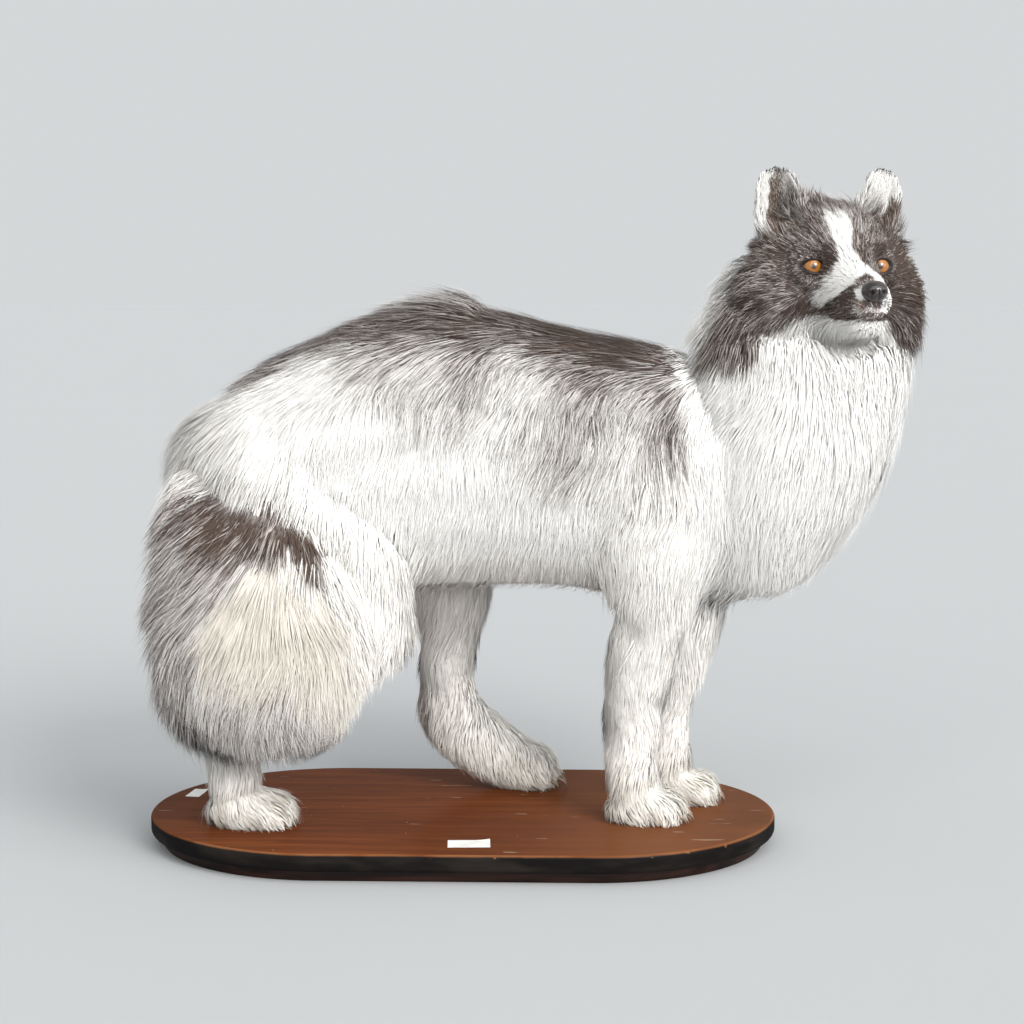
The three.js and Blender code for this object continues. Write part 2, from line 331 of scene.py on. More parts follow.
def head_forms():
    forms = [
        head_form("head", [
            [0, -92, 4, 24, 26], [0, -76, 4, 44, 40], [0, -48, 3, 51, 45], [0, -24, 0, 47, 42],
            [0, -9, -5, 40, 37], [0, 4, -11, 26, 30], [0, 20, -18, 19.5, 23], [0, 42, -24, 17, 18],
            [0, 58, -27, 14, 14.5], [0, 66, -27, 10.5, 11.5]], dome=0.06, around=48, along=56),
        head_form("head", [
            [0, -46, -38, 38, 24], [0, -20, -42, 30, 19], [0, 6, -45, 21, 11.5], [0, 28, -46.5, 15, 7.5],
            [0, 44, -47, 12, 7], [0, 57, -46.5, 8.5, 5.8]], dome=0.12)]
    for side in (-1, 1):
        forms += [
            head_form("head", [[side * 32, -66, -20, 20, 32], [side * 42, -38, -25, 20, 35],
                               [side * 34, -8, -29, 13, 21]], dome=0.4, around=24, along=20),
            head_form("head", [[side * 37, -18, 10, 8, 7], [side * 26, -5, 15, 8.5, 6.5],
                               [side * 15, 3, 13, 7.5, 6]], dome=0.4, around=20, along=16),
            head_form("head", [[side * 13, 8, -33, 8, 10], [side * 12, 34, -35, 8.5, 10],
                               [side * 8, 57, -35, 7.5, 9]], dome=0.3, around=20, along=20)]
    return forms


EAR_TURN = math.radians(10)


def ear_frame(side):
    """The width direction of an ear whose opening is turned a little outwards, and the way it opens."""
    width = LEFTWARD * math.cos(EAR_TURN) - FORWARD * (side * math.sin(EAR_TURN))
    return width, np.cross(width, UP)


EAR_ROWS = ((37, -46, 20, 23, 14), (44.5, -44, 44, 21.5, 10), (48.0, -42, 66, 19, 7), (50, -41, 84, 13, 4.4))


def ear_forms():
    """Solid blades with rounded tips; the bowls are pressed in afterwards."""
    return [head_form(region, [[side * row[0], *row[1:]] for row in EAR_ROWS],
                      side=ear_frame(side)[0], dome=0.16, around=32, along=28)
            for region, side in (("ear_right", -1), ("ear_left", 1))]


FORMS = body_forms() + leg_forms() + head_forms() + ear_forms()
AXIS_STEPS = 40                        # places along a form that stand for its axis


def axis_of(shape):
    """Places along a form's axis: their runs, middles and mean radii, and the two square directions."""
    run = (np.arange(AXIS_STEPS) + 0.5) / AXIS_STEPS
    middle, half, across, through = sections(shape, run)
    return run, middle * MM, half.mean(1) * MM, across, through


def reach_of(points, region):
    """How far each point lies outside the forms of a region."""
    gaps = []
    for shape in FORMS:
        if shape.region == region:
            _, middle, radius, _, _ = axis_of(shape)
            gaps.append((distances(points, middle) - radius).min(1))
    return np.min(gaps, 0)


# The same, in the order in which their shares stand side by side.
REGIONS = ("trunk", "neck", "tail", "head", "ear_right", "ear_left",
           "foreleg_right", "foreleg_left", "hindleg_right", "hindleg_left")
BLEND = 9 * MM                         # how softly one region's coat passes into the next


def region_shares(points):
    """How much each region has a say in the coat at each point, a column for each; a row adds up to 1."""
    reach = np.stack([reach_of(points, region) for region in REGIONS], 1)
    share = np.exp(-(reach - reach.min(1, keepdims=True)) / BLEND)
    return share / share.sum(1, keepdims=True)


def by_share(shares, values, others):
    """The regions' values blended by their shares; `others` holds for the regions that have none."""
    return sum(shares[:, i] * values.get(region, others) for i, region in enumerate(REGIONS))


# ------------------------------------------------------------------ hide: the forms joined into one skin

SKIN_VOXEL = 3.5 * MM
OUTLINE_VOXEL = 4.0 * MM


def remeshed(bm, voxel):
    """Overlapping closed shapes as one closed surface."""
    piece = link("joined", mesh_of(bm, "joined"))
    remesh = piece.modifiers.new("join", "REMESH")
    remesh.mode = "VOXEL"
    remesh.voxel_size = voxel
    view = bpy.context.evaluated_depsgraph_get()
    whole = bpy.data.meshes.new_from_object(piece.evaluated_get(view))
    bpy.data.objects.remove(piece)
    return whole


def relaxed(mesh, points, rounds, share=0.5, keep=0.0):
    """Points drawn towards the mean of their neighbours; `keep` is how firmly each holds its place."""
    pairs = np.empty(len(mesh.edges) * 2, np.int32)
    mesh.edges.foreach_get("vertices", pairs)
    a, b = pairs.reshape(-1, 2).T
    count = np.bincount(a, minlength=len(points)) + np.bincount(b, minlength=len(points))
    loose = share * (1 - np.asarray(keep, float))
    for _ in range(rounds):
        total = np.stack([np.bincount(a, column[b], len(points)) + np.bincount(b, column[a], len(points))
                          for column in points.T], 1)
        points = points + (total / np.maximum(count, 1)[:, None] - points) * np.reshape(loose, (-1, 1))
    return points


def refine(mesh, wanted):
    """Cuts the mesh's faces whose middles are `wanted` into four."""
    bm = bmesh.new()
    bm.from_mesh(mesh)
    middles = np.array([face.calc_center_median() for face in bm.faces])
    chosen = wanted(middles)
    edges = {edge for face, inside in zip(bm.faces, chosen) if inside for edge in face.edges}
    bmesh.ops.subdivide_edges(bm, edges=list(edges), cuts=1, use_grid_fill=True)
    bm.to_mesh(mesh)
    bm.free()


def on_head(points):
    spot = head_coords(points)
    return (spot[:, 1] > -60) & (spot[:, 2] > -62) & (np.abs(spot[:, 0]) < 62)


def on_ears(points):
    return head_coords(points)[:, 2] > 24


MOUTH = ((0, 63, -40.5), (-7, 60, -39.5), (-13, 50, -40.5), (-18, 32, -42), (-23, 12, -43),
         (-29, -6, -41.5), (-36, -16, -39))


def mouth_gap(points):
    """Distance in millimetres from the line between the lips, on either side of the head."""
    spot = head_coords(points)
    spot[:, 0] = -np.abs(spot[:, 0])
    line = spline(MOUTH, np.linspace(0, 1, 80))
    return distances(spot, line).min(1)


EYE_TURN = {-1: math.radians(10), 1: math.radians(1)}   # how far outwards each eye opening faces
EYE_RISE = math.radians(2)
SOCKET_DEPTH = 5.5                     # from the face's surface in to the middle of the eyeball
LIDS = {-1: (8.2, 4.9, 4.8), 1: (8.1, 5.5, 5.2)}   # half width of each opening, heights above and below
LID_ROUND = 1.8                        # 2 would make the openings plain ellipses


def eye_axes(side):
    """Outer corner, upward and outward directions of an eye opening."""
    turn = EYE_TURN[side]
    out = unit(FORWARD * math.cos(turn) + LEFTWARD * (side * math.sin(turn)) + UP * math.sin(EYE_RISE))
    return unit(np.cross(UP, out)) * side, unit(UP - out * (UP @ out)), out


def eye_place(points, side):
    """Place about an eye, and the radius: 1 on the edge of the lids, less inside them, more outside."""
    corner, rise, out = eye_axes(side)
    ray = points - EYES[side]
    radius = np.linalg.norm(ray, axis=1)
    on_ball = unit(ray) * EYE_RADIUS / MM
    width, *heights = LIDS[side]
    x = on_ball @ corner
    y = on_ball @ rise - 0.05 * x
    height = np.where(y > 0, *heights)
    place = ((np.abs(x) / width) ** LID_ROUND + (np.abs(y) / height) ** LID_ROUND) ** (1 / LID_ROUND)
    return np.where(ray @ out > 0, place, 9.0) + np.maximum(radius / EYE_RADIUS - 1.25, 0), radius


def by_eyes(points, within):
    """Whether the points lie no further than `within` about either eye opening."""
    return np.minimum(eye_place(points, -1)[0], eye_place(points, 1)[0]) < within


def set_sockets(points):
    """Lays the face round each eye flat and square to the opening, so that the ball sits at its depth."""
    for side in (-1, 1):
        out = eye_axes(side)[2]
        ray = points - EYES[side]
        rise = ray @ out / MM
        aside = np.linalg.norm(ray - np.outer(ray @ out, out), axis=1) / MM
        hold = smooth(21, 9, aside) * (rise > -9)
        points = points + np.outer((SOCKET_DEPTH + 0.035 * aside - rise) * hold * MM, out)
    return points


LID_OVER = 1.3 * MM                    # how far the lids and the face stand off the eyeball


def open_eyes(points):
    """Presses the openings in and lays the lids over the eyeballs."""
    for side in (-1, 1):
        ball = EYES[side]
        place, radius = eye_place(points, side)
        near = (place < 3) & (radius < 22 * MM)
        lid = EYE_RADIUS + 1.5 * MM * smooth(0.90, 1.04, place) - 2.4 * MM * smooth(1.0, 0.86, place)
        over = np.maximum(radius - EYE_RADIUS - LID_OVER, 0)
        rest = EYE_RADIUS + LID_OVER + over * smooth(0, 2.5 * MM, over)
        fold = 0.7 * bump_at(place, 1.14, 0.08) - 0.6 * bump_at(place, 1.38, 0.10)
        fold *= MM * smooth(20 * MM, 12 * MM, radius)
        wanted = mixed(lid, rest, smooth(1.04, 1.3, place)) + fold
        moved = ball + unit(points - ball) * wanted[:, None]
        points = np.where(near[:, None], moved, points)
    return points


def part_lips(points, normals):
    """Presses in the line between the lips and the cleft under the nose, with a soft lip on both sides."""
    gap = mouth_gap(points)
    depth = -2.4 * bump_at(gap, 0, 1.3) + 0.7 * bump_at(gap, 3.0, 1.5)
    spot = head_coords(points)
    cleft = -1.2 * bump_at(spot[:, 0], 0, 1.1) * smooth(60, 66, spot[:, 1]) * smooth(-46, -40, spot[:, 2])
    return points + normals * ((depth + cleft) * MM)[:, None]


EAR_WALL = 2.4


def cup_ears(points, normals):
    """Presses the front of each ear back until only its wall is left behind the bowl."""
    rows = np.array(EAR_ROWS)
    for side in (-1, 1):
        width, opening = ear_frame(side)
        spot = head_coords(points)
        near = (spot[:, 2] > 22) & (spot[:, 0] * side > 14) & (spot[:, 1] > -62)
        place = np.clip(np.interp(spot[:, 2], rows[:, 2], np.arange(len(rows))) / (len(rows) - 1), 0, 1)
        row = spline(rows, place)
        offset = points - points_of(np.stack([row[:, 0] * side, row[:, 1], spot[:, 2]], 1))
        across = np.abs(offset @ width) / (row[:, 3] * MM)
        ahead = offset @ opening / MM
        back = -row[:, 4] * np.sqrt(np.clip(1 - across ** 2, 0, 1)) + EAR_WALL
        share = smooth(0.98, 0.62, across) * smooth(22, 38, spot[:, 2])
        share *= smooth(-0.2, 0.5, normals @ opening)
        shift = np.minimum(back - ahead, 0) * share * near * (ahead > -row[:, 4] * 0.3)
        points = points + opening * (shift * MM)[:, None]
    return points


def build_skin():
    """The skin: all forms as one, smoothed, made finer on the face, and given eyes, ears and mouth."""
    bm = bmesh.new()
    for shape in FORMS:
        add_form(bm, shape)
    mesh = remeshed(bm, SKIN_VOXEL)
    set_coords(mesh, relaxed(mesh, coords_of(mesh), 3))
    refine(mesh, lambda middles: on_head(middles) | on_ears(middles))
    refine(mesh, lambda middles: by_eyes(middles, 2.2) | (on_head(middles) & (mouth_gap(middles) < 6)))
    points = coords_of(mesh)
    set_coords(mesh, relaxed(mesh, points, 3, keep=~(on_head(points) | on_ears(points))))
    set_coords(mesh, set_sockets(coords_of(mesh)))
    set_coords(mesh, cup_ears(coords_of(mesh), normals_of(mesh)))
    set_coords(mesh, part_lips(coords_of(mesh), normals_of(mesh)))
    refine(mesh, lambda middles: by_eyes(middles, 1.5))
    set_coords(mesh, open_eyes(coords_of(mesh)))
    shade_smooth(mesh)
    return mesh


# ------------------------------------------------------------------ markings, by places outside the coat

def profile(place, *pairs):
    """A value that changes along straight lines between the (place, value) pairs."""
    return np.interp(place, *zip(*pairs))


def body_marks(points):
    """Dark stripe down the back, grey streaks down the sides and a dark band behind the white chest."""
    x, _, z = (points / MM).T
    fine = waves(points, 13, 11)
    broad = waves(points, 50, 12)
    stripe_low = profile(x, (-202, 398), (-180, 413), (-137, 429), (-93, 444), (-7, 444), (62, 436),
                         (110, 428), (173, 424))
    stripe = smooth(-9, 7, z - stripe_low + 5 * fine + 3 * broad)
    spine = profile(x, (-138, 438), (-94, 457), (-7, 464), (35, 470), (78, 457), (121, 449), (164, 444))
    pale_top = smooth(8, 18, z - spine) * smooth(20, -5, x) * smooth(-125, -95, x)
    stripe *= (0.87 - 0.36 * pale_top + 0.10 * bump_at(z - spine, 0, 8) - 0.20 * bump_at(x, -140, 45)
               - 0.14 * bump_at(x, -60, 40) + 0.26 * smooth(50, 140, x))
    lower = profile(x, (-150, 432), (-90, 399), (-48, 384), (0, 360), (60, 345), (96, 314), (156, 280),
                    (200, 262))
    streaks = profile(x + 6 * fine, (-150, 0.10), (-100, 0.27), (-48, 0.33), (-15, 0.35), (8, 0.46),
                      (24, 0.32), (42, 0.22), (60, 0.32), (80, 0.43), (108, 0.50), (126, 0.38),
                      (142, 0.28), (154, 0.42), (200, 0.6))
    side = streaks * smooth(lower - 30, lower + 28, z + 9 * broad + 4 * fine)
    side += 0.20 * smooth(-46, 2, z - stripe_low) * smooth(-150, -90, x)
    band_x = profile(z, (262, 136), (290, 146), (315, 156), (340, 168), (374, 180), (408, 176),
                     (442, 167))
    band = profile(z, (262, 0.20), (290, 0.48), (330, 0.62), (390, 0.68), (420, 0.88), (442, 0.96))
    band *= bump_at(x + 4 * fine, band_x, profile(z, (300, 28), (360, 23), (400, 19)))
    edge = profile(z, (264, 145), (276, 166), (298, 185), (332, 196), (374, 197), (400, 191),
                   (425, 183), (446, 172))
    behind_chest = smooth(edge + 8, edge - 8, x + 5 * fine)
    low = 0.01 + 0.02 * smooth(-60, 40, x) + 0.03 * np.maximum(broad, 0) + 0.08 * smooth(-70, -130, x)
    grey = np.maximum(side, band) + 0.06 * broad
    tone = np.maximum(grey, np.maximum(stripe, low)) * behind_chest + 0.01
    return tone, 0.12 * stripe + 0.3 * side, 0.10 * smooth(300, 240, z)


def neck_marks(points):
    """White throat and ruff under the dark cheeks, a little grey on the nape."""
    x, _, z = (points / MM).T
    nape = smooth(462, 505, z) * smooth(288, 258, x + 5 * waves(points, 16, 14))
    left, ahead, high = head_coords(points).T
    edge = throat_edge(left)
    ruff = smooth(edge - 5, edge + 5, high + 3 * waves(points, 7, 17)) * smooth(-66, -52, ahead)
    return np.maximum(0.12 * nape, 0.84 * ruff), 0.25 * ruff, 0 * x


def tail_band(points):
    """Share and strength of the brown band that crosses the tail under the white rump."""
    x, _, z = (points / MM).T
    fine = waves(points, 12, 15)
    top = profile(x, (-244, 304), (-231, 304), (-199, 300), (-173, 295), (-147, 297), (-134, 288),
                  (-113, 264), (-89, 233))
    base = profile(x, (-236, 288), (-215, 266), (-203, 254), (-186, 253), (-165, 257), (-146, 262),
                   (-130, 264), (-114, 250), (-93, 224))
    band = smooth(top + 7, top - 4, z + 6 * fine) * smooth(base - 8, base + 5, z + 5 * fine)
    return band, mixed(0.58, 0.95, smooth(top - 42, top - 20, z)) + 0.10 * fine


def tail_marks(points):
    """A brown band under the white rump, silver-grey long hair behind, a cream middle, and painted shade low
    on the tail.
    """
    x, _, z = (points / MM).T
    fine = waves(points, 12, 15)
    band, strength = tail_band(points)
    disc = profile(x, (-222, 180), (-216, 206), (-203, 226), (-182, 243), (-156, 252), (-139, 256),
                   (-118, 246), (-97, 218))
    round_disc = smooth(disc - 6, disc + 10, z + 4 * fine)
    silver = np.maximum(smooth(-200, -222, x + 6 * fine), round_disc) * smooth(345, 300, z)
    # Painted shade: the tail turns greyer and less cream towards its lower, left end.
    foot = smooth(190, 135, z + 6 * fine + 0.25 * (x + 190))
    tone = np.maximum(np.maximum(strength * band, 0.56 * silver), 0.50 * foot)
    return tone, band * smooth(-228, -180, x) * 0.3 + 0.15, 0.85 * (1 - silver) * (1 - 0.8 * foot)


def leg_marks(points):
    """Cream legs, stained paws, a brown heel stain on the left hind leg, and painted shade atop the hind
    legs.
    """
    x, y, z = (points / MM).T
    paw = smooth(74, 44, z)
    stain = bump_at(waves(points, 9, 16), 1.1, 0.7)
    heel = smooth(60, 75, y) * smooth(130, 105, z) * smooth(60, 85, z) * smooth(14, -4, x)
    # Painted shade: a little grey at the top of the hind legs, under the belly.
    thigh_shade = 0.06 * smooth(180, 250, z) * smooth(0, -60, x)
    cream = 0.24 + paw * (0.12 + 0.40 * stain) + 0.12 * smooth(150, 60, z)
    return 0.85 * heel * (0.4 + 0.6 * stain) + thigh_shade, 0.9 * (heel > 0.02), cream


def lips_dark(spot):
    """Black lips: a low band along the mouth that rises to a peak behind the nose."""
    height = spot[:, 2] + 43.5
    peak = profile(spot[:, 1], (-22, 3), (-12, 7), (0, 10), (10, 13), (28, 18), (37, 23), (42, 28),
                   (48, 28), (54, 23), (60, 13), (64, 4))
    peak = peak + 1.5 * waves(points_of(spot), 6, 20)
    return smooth(peak + 2, peak - 2, height) * smooth(-3.0, 0.0, height) * smooth(-24, -14, spot[:, 1])


def throat_edge(left):
    """Height below the eyes at which the dark cheeks end and the white throat begins."""
    right = profile(-left, (36, -44), (46, -51), (53, -58), (61, -63), (68, -72), (84, -92))
    other = profile(left, (36, -46), (41, -50), (47, -59), (52, -68), (63, -80), (80, -104))
    return np.where(left > 0, other, right)


def head_marks(points):
    """Grizzled dark face with a white blaze, muzzle and throat."""
    spot = head_coords(points)
    left, ahead, high = spot.T
    side = np.abs(left)
    fine = waves(points, 7, 17)
    blaze_right = profile(high, (-33, -27), (-28, -30), (-18, -27), (-7, -23), (1, -19), (6, -17),
                          (20, -15.5), (29, -18), (38, -19), (46, -14))
    blaze_left = profile(high, (-33, 27), (-18, 26), (-12, 22), (-8, 16), (-3, 8.5), (2, 2.5), (8, -1.5),
                         (13, -3), (20, -2.5), (29, 0), (38, 2), (46, -3))
    fade = 2 + 5 * smooth(-8, -24, high)
    white = smooth(blaze_right - fade, blaze_right + fade, left + 1.2 * fine)
    white *= smooth(blaze_left + 2, blaze_left - 2, left + 1.2 * fine)
    white *= smooth(50, 42, high + fine) * smooth(-46, -40, high + 0.2 * side) * smooth(-60, -40, ahead)
    throat = smooth(throat_edge(left) + 4, throat_edge(left) - 4, high + 3 * fine)
    white = np.maximum(white, throat)
    grizzle = 0.87 + 0.12 * waves(points, 18, 18) + 0.05 * fine
    grizzle -= 0.20 * smooth(24, 64, -left) * smooth(-20, -60, high)
    grizzle += 0.18 * smooth(20, 52, left) - 0.60 * smooth(-54, -74, ahead) - 0.10 * smooth(12, 32, high)
    tone = mixed(grizzle, 0.0, white)
    corner = bump_at(side + profile(high, (-8, -27), (1, -23), (6, -21), (13, -21), (20, -23)), 0, 6)
    corner *= smooth(-12, -6, high) * smooth(28, 18, high)
    crease = bump_at(high, profile(side, (25, -8), (30, -12), (34, -17), (41, -22.5), (48, -26)), 2.6)
    crease *= smooth(23, 27, side) * smooth(54, 46, side)
    inky = np.maximum(1.25 * corner * smooth(-6, 2, ahead), 0.94 * crease * smooth(-26, -12, ahead))
    tone = np.maximum(tone, inky * (1 - white))
    over_nose = smooth(44, 48, ahead + fine) * smooth(-20, -15, high) * smooth(5, -1, left)
    over_nose *= 0.75 + 0.4 * fine
    tone = np.maximum(np.maximum(tone, lips_dark(spot)), np.clip(over_nose, 0, 1))
    rosy = smooth(50, 55, ahead) * smooth(-24, -29, high) * smooth(-43, -40, high) * smooth(7, 2, left)
    tone = mixed(tone, 0.62 + 0.2 * fine, rosy)
    return tone, np.maximum(0.28 + 0 * tone, rosy), 0.05 * white


def ear_marks(points):
    """White blades; olive-brown hair stands in the right ear and at the foot of both."""
    spot = head_coords(points)
    side, high = np.abs(spot[:, 0]), spot[:, 2]
    fine = waves(points, 5, 22)
    ragged = high + 3 * waves(points, 9, 19)
    right = spot[:, 0] < 0
    rim = profile(high, (30, 57), (45, 53), (70, 53), (92, 50))
    inner = smooth(rim + 1.5, rim - 1.5, side + fine) * right
    pale_edge = smooth(48, 40, side) * smooth(38, 48, high)
    inner *= 0.88 - 0.30 * smooth(55, 88, high + 5 * fine) - 0.40 * pale_edge
    edge = 47 + 0.40 * (side - 35)
    foot = 0.95 * np.where(right, smooth(36, 26, ragged), smooth(edge + 5, edge - 5, ragged))
    return np.maximum(inner, foot), np.maximum(inner, 0.6 * foot), 0.10 + 0.4 * inner


MARKS = {"trunk": body_marks, "neck": neck_marks, "tail": tail_marks, "head": head_marks,
         "ear_right": ear_marks, "ear_left": ear_marks}


def markings(points, shares):
    """Darkness, brownness and creaminess of the coat: each region's own, blended by its share."""
    total = np.zeros((3, len(points)))
    for index, region in enumerate(REGIONS):
        share = shares[:, index]
        here = share > 0.01
        total[:, here] += np.stack(MARKS.get(region, leg_marks)(points[here])) * share[here]
    band, strength = tail_band(points)
    band *= smooth(-60, -85, points[:, 1] / MM) * smooth(-95, -120, points[:, 0] / MM)
    total[:2] = np.maximum(total[:2], np.stack([strength * band, 0.35 * band]))
    return np.clip(total, 0, 1)


# ------------------------------------------------------------------ lie, length and lift of the coat

NOSE_SPOT = np.array([0.0, 74.0, -28.0])
WHORL = np.array([-144, -98, 300]) * MM      # the hair of the tail spreads from here
PARTING = -190                         # and parts along this line at its end


def body_lie(points, normals):
    """Back along the spine, down the sides, and back and down over the rump."""
    x = points[:, 0] / MM
    flank = smooth(0.97, 0.40, normals[:, 2])
    rump = smooth(-100, -225, x)
    shoulder = smooth(120, 205, x)
    back = 1 - 0.70 * flank + 0.42 * rump * flank - 0.12 * shoulder * flank
    fall = 0.22 + 0.95 * flank - 0.30 * rump
    return np.stack([-back, 0 * x, -fall], 1)


def neck_lie(points, normals):
    """Down all round, and a little back over the nape."""
    behind = smooth(0.3, -0.8, normals[:, 0])
    return DOWN + np.outer(-0.75 * behind, AHEAD) + np.outer(0.18 * normals[:, 1], [0, 1, 0])


def tail_lie(points, normals):
    """Outwards from the whorl and down, parting at the tip."""
    x, _, z = (points / MM).T
    from_whorl = unit((points - WHORL) * [1.5, 1.0, 1.0])
    fan = np.outer(smooth(200, 150, z) * np.tanh((x - PARTING) / 22), AHEAD)
    root = smooth(285, 320, z)[:, None]
    return mixed(from_whorl + 0.55 * DOWN + 0.35 * fan, np.array([-0.55, -0.15, -1.0]), root)


def leg_lie(points, normals):
    """Down the leg and ahead over the toes."""
    paw = smooth(66, 44, points[:, 2] / MM)
    return DOWN + np.outer(0.9 * paw - 0.1, AHEAD)


def under_jaw(spot):
    """Share of the jaw's underside, behind the chin."""
    return smooth(-43, -50, spot[:, 2]) * smooth(56, 40, spot[:, 1])


def crown(spot):
    """Share of the raised hair on top of the head, between the right ear and the blaze."""
    return bump_at(spot[:, 0], -26, 17) * smooth(34, 44, spot[:, 2]) * smooth(-62, -40, spot[:, 1])


def left_cheek(spot):
    """Share of the shaggy hair on the left cheek, more of it low down."""
    cheek = smooth(34, 48, spot[:, 0]) * smooth(34, 16, spot[:, 2]) * smooth(30, 5, spot[:, 1])
    return cheek * (0.45 + 0.55 * smooth(0, -36, spot[:, 2]))


def head_lie(points, normals):
    """Away from the nose all round the face, and falling on the cheeks, throat and nape."""
    spot = head_coords(points)
    away = unit(spot - NOSE_SPOT)
    fall = 0.55 * smooth(-4, -40, spot[:, 2]) * smooth(40, 0, spot[:, 1]) + 0.12
    fall += 0.9 * under_jaw(spot) + 1.5 * smooth(-22, -58, spot[:, 1])
    total = (away + np.outer(fall, [0, 0, -1]) + np.outer(1.2 * crown(spot), [0.2, 0, 1])) @ HEAD_AXES
    for ball in EYES.values():
        ray = points - ball
        total += unit(ray) * 1.5 * smooth(17 * MM, 10 * MM, np.linalg.norm(ray, axis=1))[:, None]
    return total


def ear_lie(points, normals):
    """Up the blade, and outwards across its opening."""
    spot = head_coords(points)
    inner_tuft = smooth(-44, -38, spot[:, 0]) * (spot[:, 0] < 0)
    return UP + np.outer(np.sign(spot[:, 0]) * 0.12 + 0.25 * inner_tuft, LEFTWARD) - 0.1 * FORWARD


LIES = {"trunk": body_lie, "neck": neck_lie, "tail": tail_lie, "head": head_lie,
        "ear_right": ear_lie, "ear_left": ear_lie}


def lengths(points, shares):
    """Length of the longest hair at each place, in millimetres."""
    x, _, z = (points / MM).T
    spot = head_coords(points)
    from_nose = np.linalg.norm(spot - NOSE_SPOT, axis=1)
    leg = np.interp(z, (34, 60, 110, 170, 230, 300), (20, 23, 30, 36, 42, 46))
    by_region = {
        "trunk": 47 + 7 * smooth(-150, -230, x) + 12 * bump_at(x, 16, 32) * smooth(430, 455, z),
        "neck": 52,
        "tail": 60 + 20 * smooth(235, 175, z) - 34 * smooth(-222, -196, x) * smooth(190, 140, z),
        "head": (np.interp(from_nose, (0, 25, 50, 75, 100, 125, 160), (3, 4, 6.5, 13, 23, 35, 44))
                 + 18 * smooth(34, 56, np.abs(spot[:, 0])) * smooth(22, -6, spot[:, 2])
                 + 22 * left_cheek(spot) + 18 * under_jaw(spot) + 10 * crown(spot)),
        "ear_right": np.interp(spot[:, 2], (20, 34, 50, 80, 92), (22, 13, 6, 5, 2)),
        "ear_left": np.interp(spot[:, 2], (20, 44, 62, 80, 92), (26, 20, 6, 4, 2))}
    from_eye = np.minimum(*(np.linalg.norm(points - ball, axis=1) for ball in EYES.values()))
    return np.minimum(by_share(shares, by_region, leg), 2.5 + 0.75 * np.maximum(from_eye / MM - 9, 0))


def crest(points):
    """Share of the raised hair on the middle of the back, which rises slowly and ends soon."""
    x, _, z = (points / MM).T
    return bump_at(x, 24, np.where(x < 24, 42, 11)) * smooth(446, 466, z)


def freedom(points, shares):
    """How far the coat may stand out past the outline, in millimetres."""
    spot = head_coords(points)
    face = smooth(-40, -25, spot[:, 1])
    behind = smooth(-190, -232, points[:, 0] / MM)
    by_region = {
        "trunk": 1.5 + 22 * crest(points) + 9 * behind,
        "neck": 2,
        "tail": 2 + 16 * behind,
        "head": 2 + 12 * face * (1 - 0.85 * under_jaw(spot)) + 24 * left_cheek(spot) + 9 * crown(spot),
        "ear_right": 1.2,
        "ear_left": 1.2 + 9 * smooth(62, 44, spot[:, 2])}
    return by_share(shares, by_region, 5)


def lies(points, normals, shares):
    """The way the hair lies along the skin: each region's own, blended, and laid in the surface."""
    total = sum(shares[:, i:i + 1] * unit(LIES.get(region, leg_lie)(points, normals))
                for i, region in enumerate(REGIONS))
    return unit(total - normals * (total * normals).sum(1, keepdims=True))


def coat_outline():
    """The surface out to which the tips of the coat reach: the flesh solids as one."""
    bm = bmesh.new()
    for node in FLESH:
        bm.from_mesh(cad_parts[node].data)
    mesh = remeshed(bm, OUTLINE_VOXEL)
    points = coords_of(mesh)
    spot = head_coords(points)
    head = smooth(-66, -48, spot[:, 1]) * smooth(-115, -85, spot[:, 2])
    paws = smooth(80, 60, points[:, 2] / MM)
    hind = smooth(70, 20, points[:, 0] / MM)
    set_coords(mesh, relaxed(mesh, points, 14, keep=np.maximum(head, np.maximum(paws, hind))))
    bm = bmesh.new()
    bm.from_mesh(mesh)
    tree = BVHTree.FromBMesh(bm)
    bm.free()
    return tree


def outside_by(tree, point):
    """The nearest place on the outline, the way out there, and how far outside the point lies."""
    place, way, _, gap = tree.find_nearest(point)
    beyond = (Vector(point) - place).dot(way)
    return place, way, math.copysign(gap, beyond)


DEEPEST = {"trunk": 15, "neck": 18, "tail": 24, "head": 60, "ear_right": 60, "ear_left": 60}
DEEPEST_LEG = 5.5


def raise_skin(mesh, tree):
    """Brings the skin up under the outline, so that the coat is nowhere deeper than its hair calls for."""
    points = coords_of(mesh)
    deepest = MM * by_share(region_shares(points), DEEPEST, DEEPEST_LEG)
    raised = points.copy()
    for index, point in enumerate(points):
        place, _, beyond = outside_by(tree, point)
        if -beyond > deepest[index]:
            raised[index] += (np.array(place) - point) * (1 + deepest[index] / beyond)
    hold = on_head(points) | on_ears(points) | (points[:, 2] < 60 * MM)
    set_coords(mesh, relaxed(mesh, raised, 4, keep=hold))


# ------------------------------------------------------------------ coat: locks as thin tapering solids

MIDDLE = 0.42                          # where a lock is thickest, from root to tip
RISE = 3.5                             # the higher, the sooner a lock leaves the skin and lies over
SHOWN = 0.66                           # and the middle of what shows of it, where it takes its markings
PATCH = 0.003                          # size of a lock's patch on its map
FREEST = 24                            # the freedom of the shaggiest hair
STRAY_LENGTH = 1.22                    # how much longer the odd hairs are
SWERVE = 0.26                          # how far the lie wanders in broad waves
OWN_SWERVE = 0.10                      # and how far each lock and each clump on its own
TIP_REACH = 9 * MM                     # how far a lock's tip may be drawn over to its clump's
LOCK_LEVEL = np.array([0.0, MIDDLE, MIDDLE, MIDDLE, 1.0])      # a lock's root, its middle ring and its tip
LOCK_TURN = np.array([0.5, 0.0, 0.5, 1.0, 0.5])                # and where each lies across the lock
# Three faces from the root to the ring, and three from the ring to the tip.
LOCK_FACES = np.array([(0, 1 + (i + 1) % 3, 1 + i) for i in range(3)]
                      + [(1 + i, 1 + (i + 1) % 3, 4) for i in range(3)])


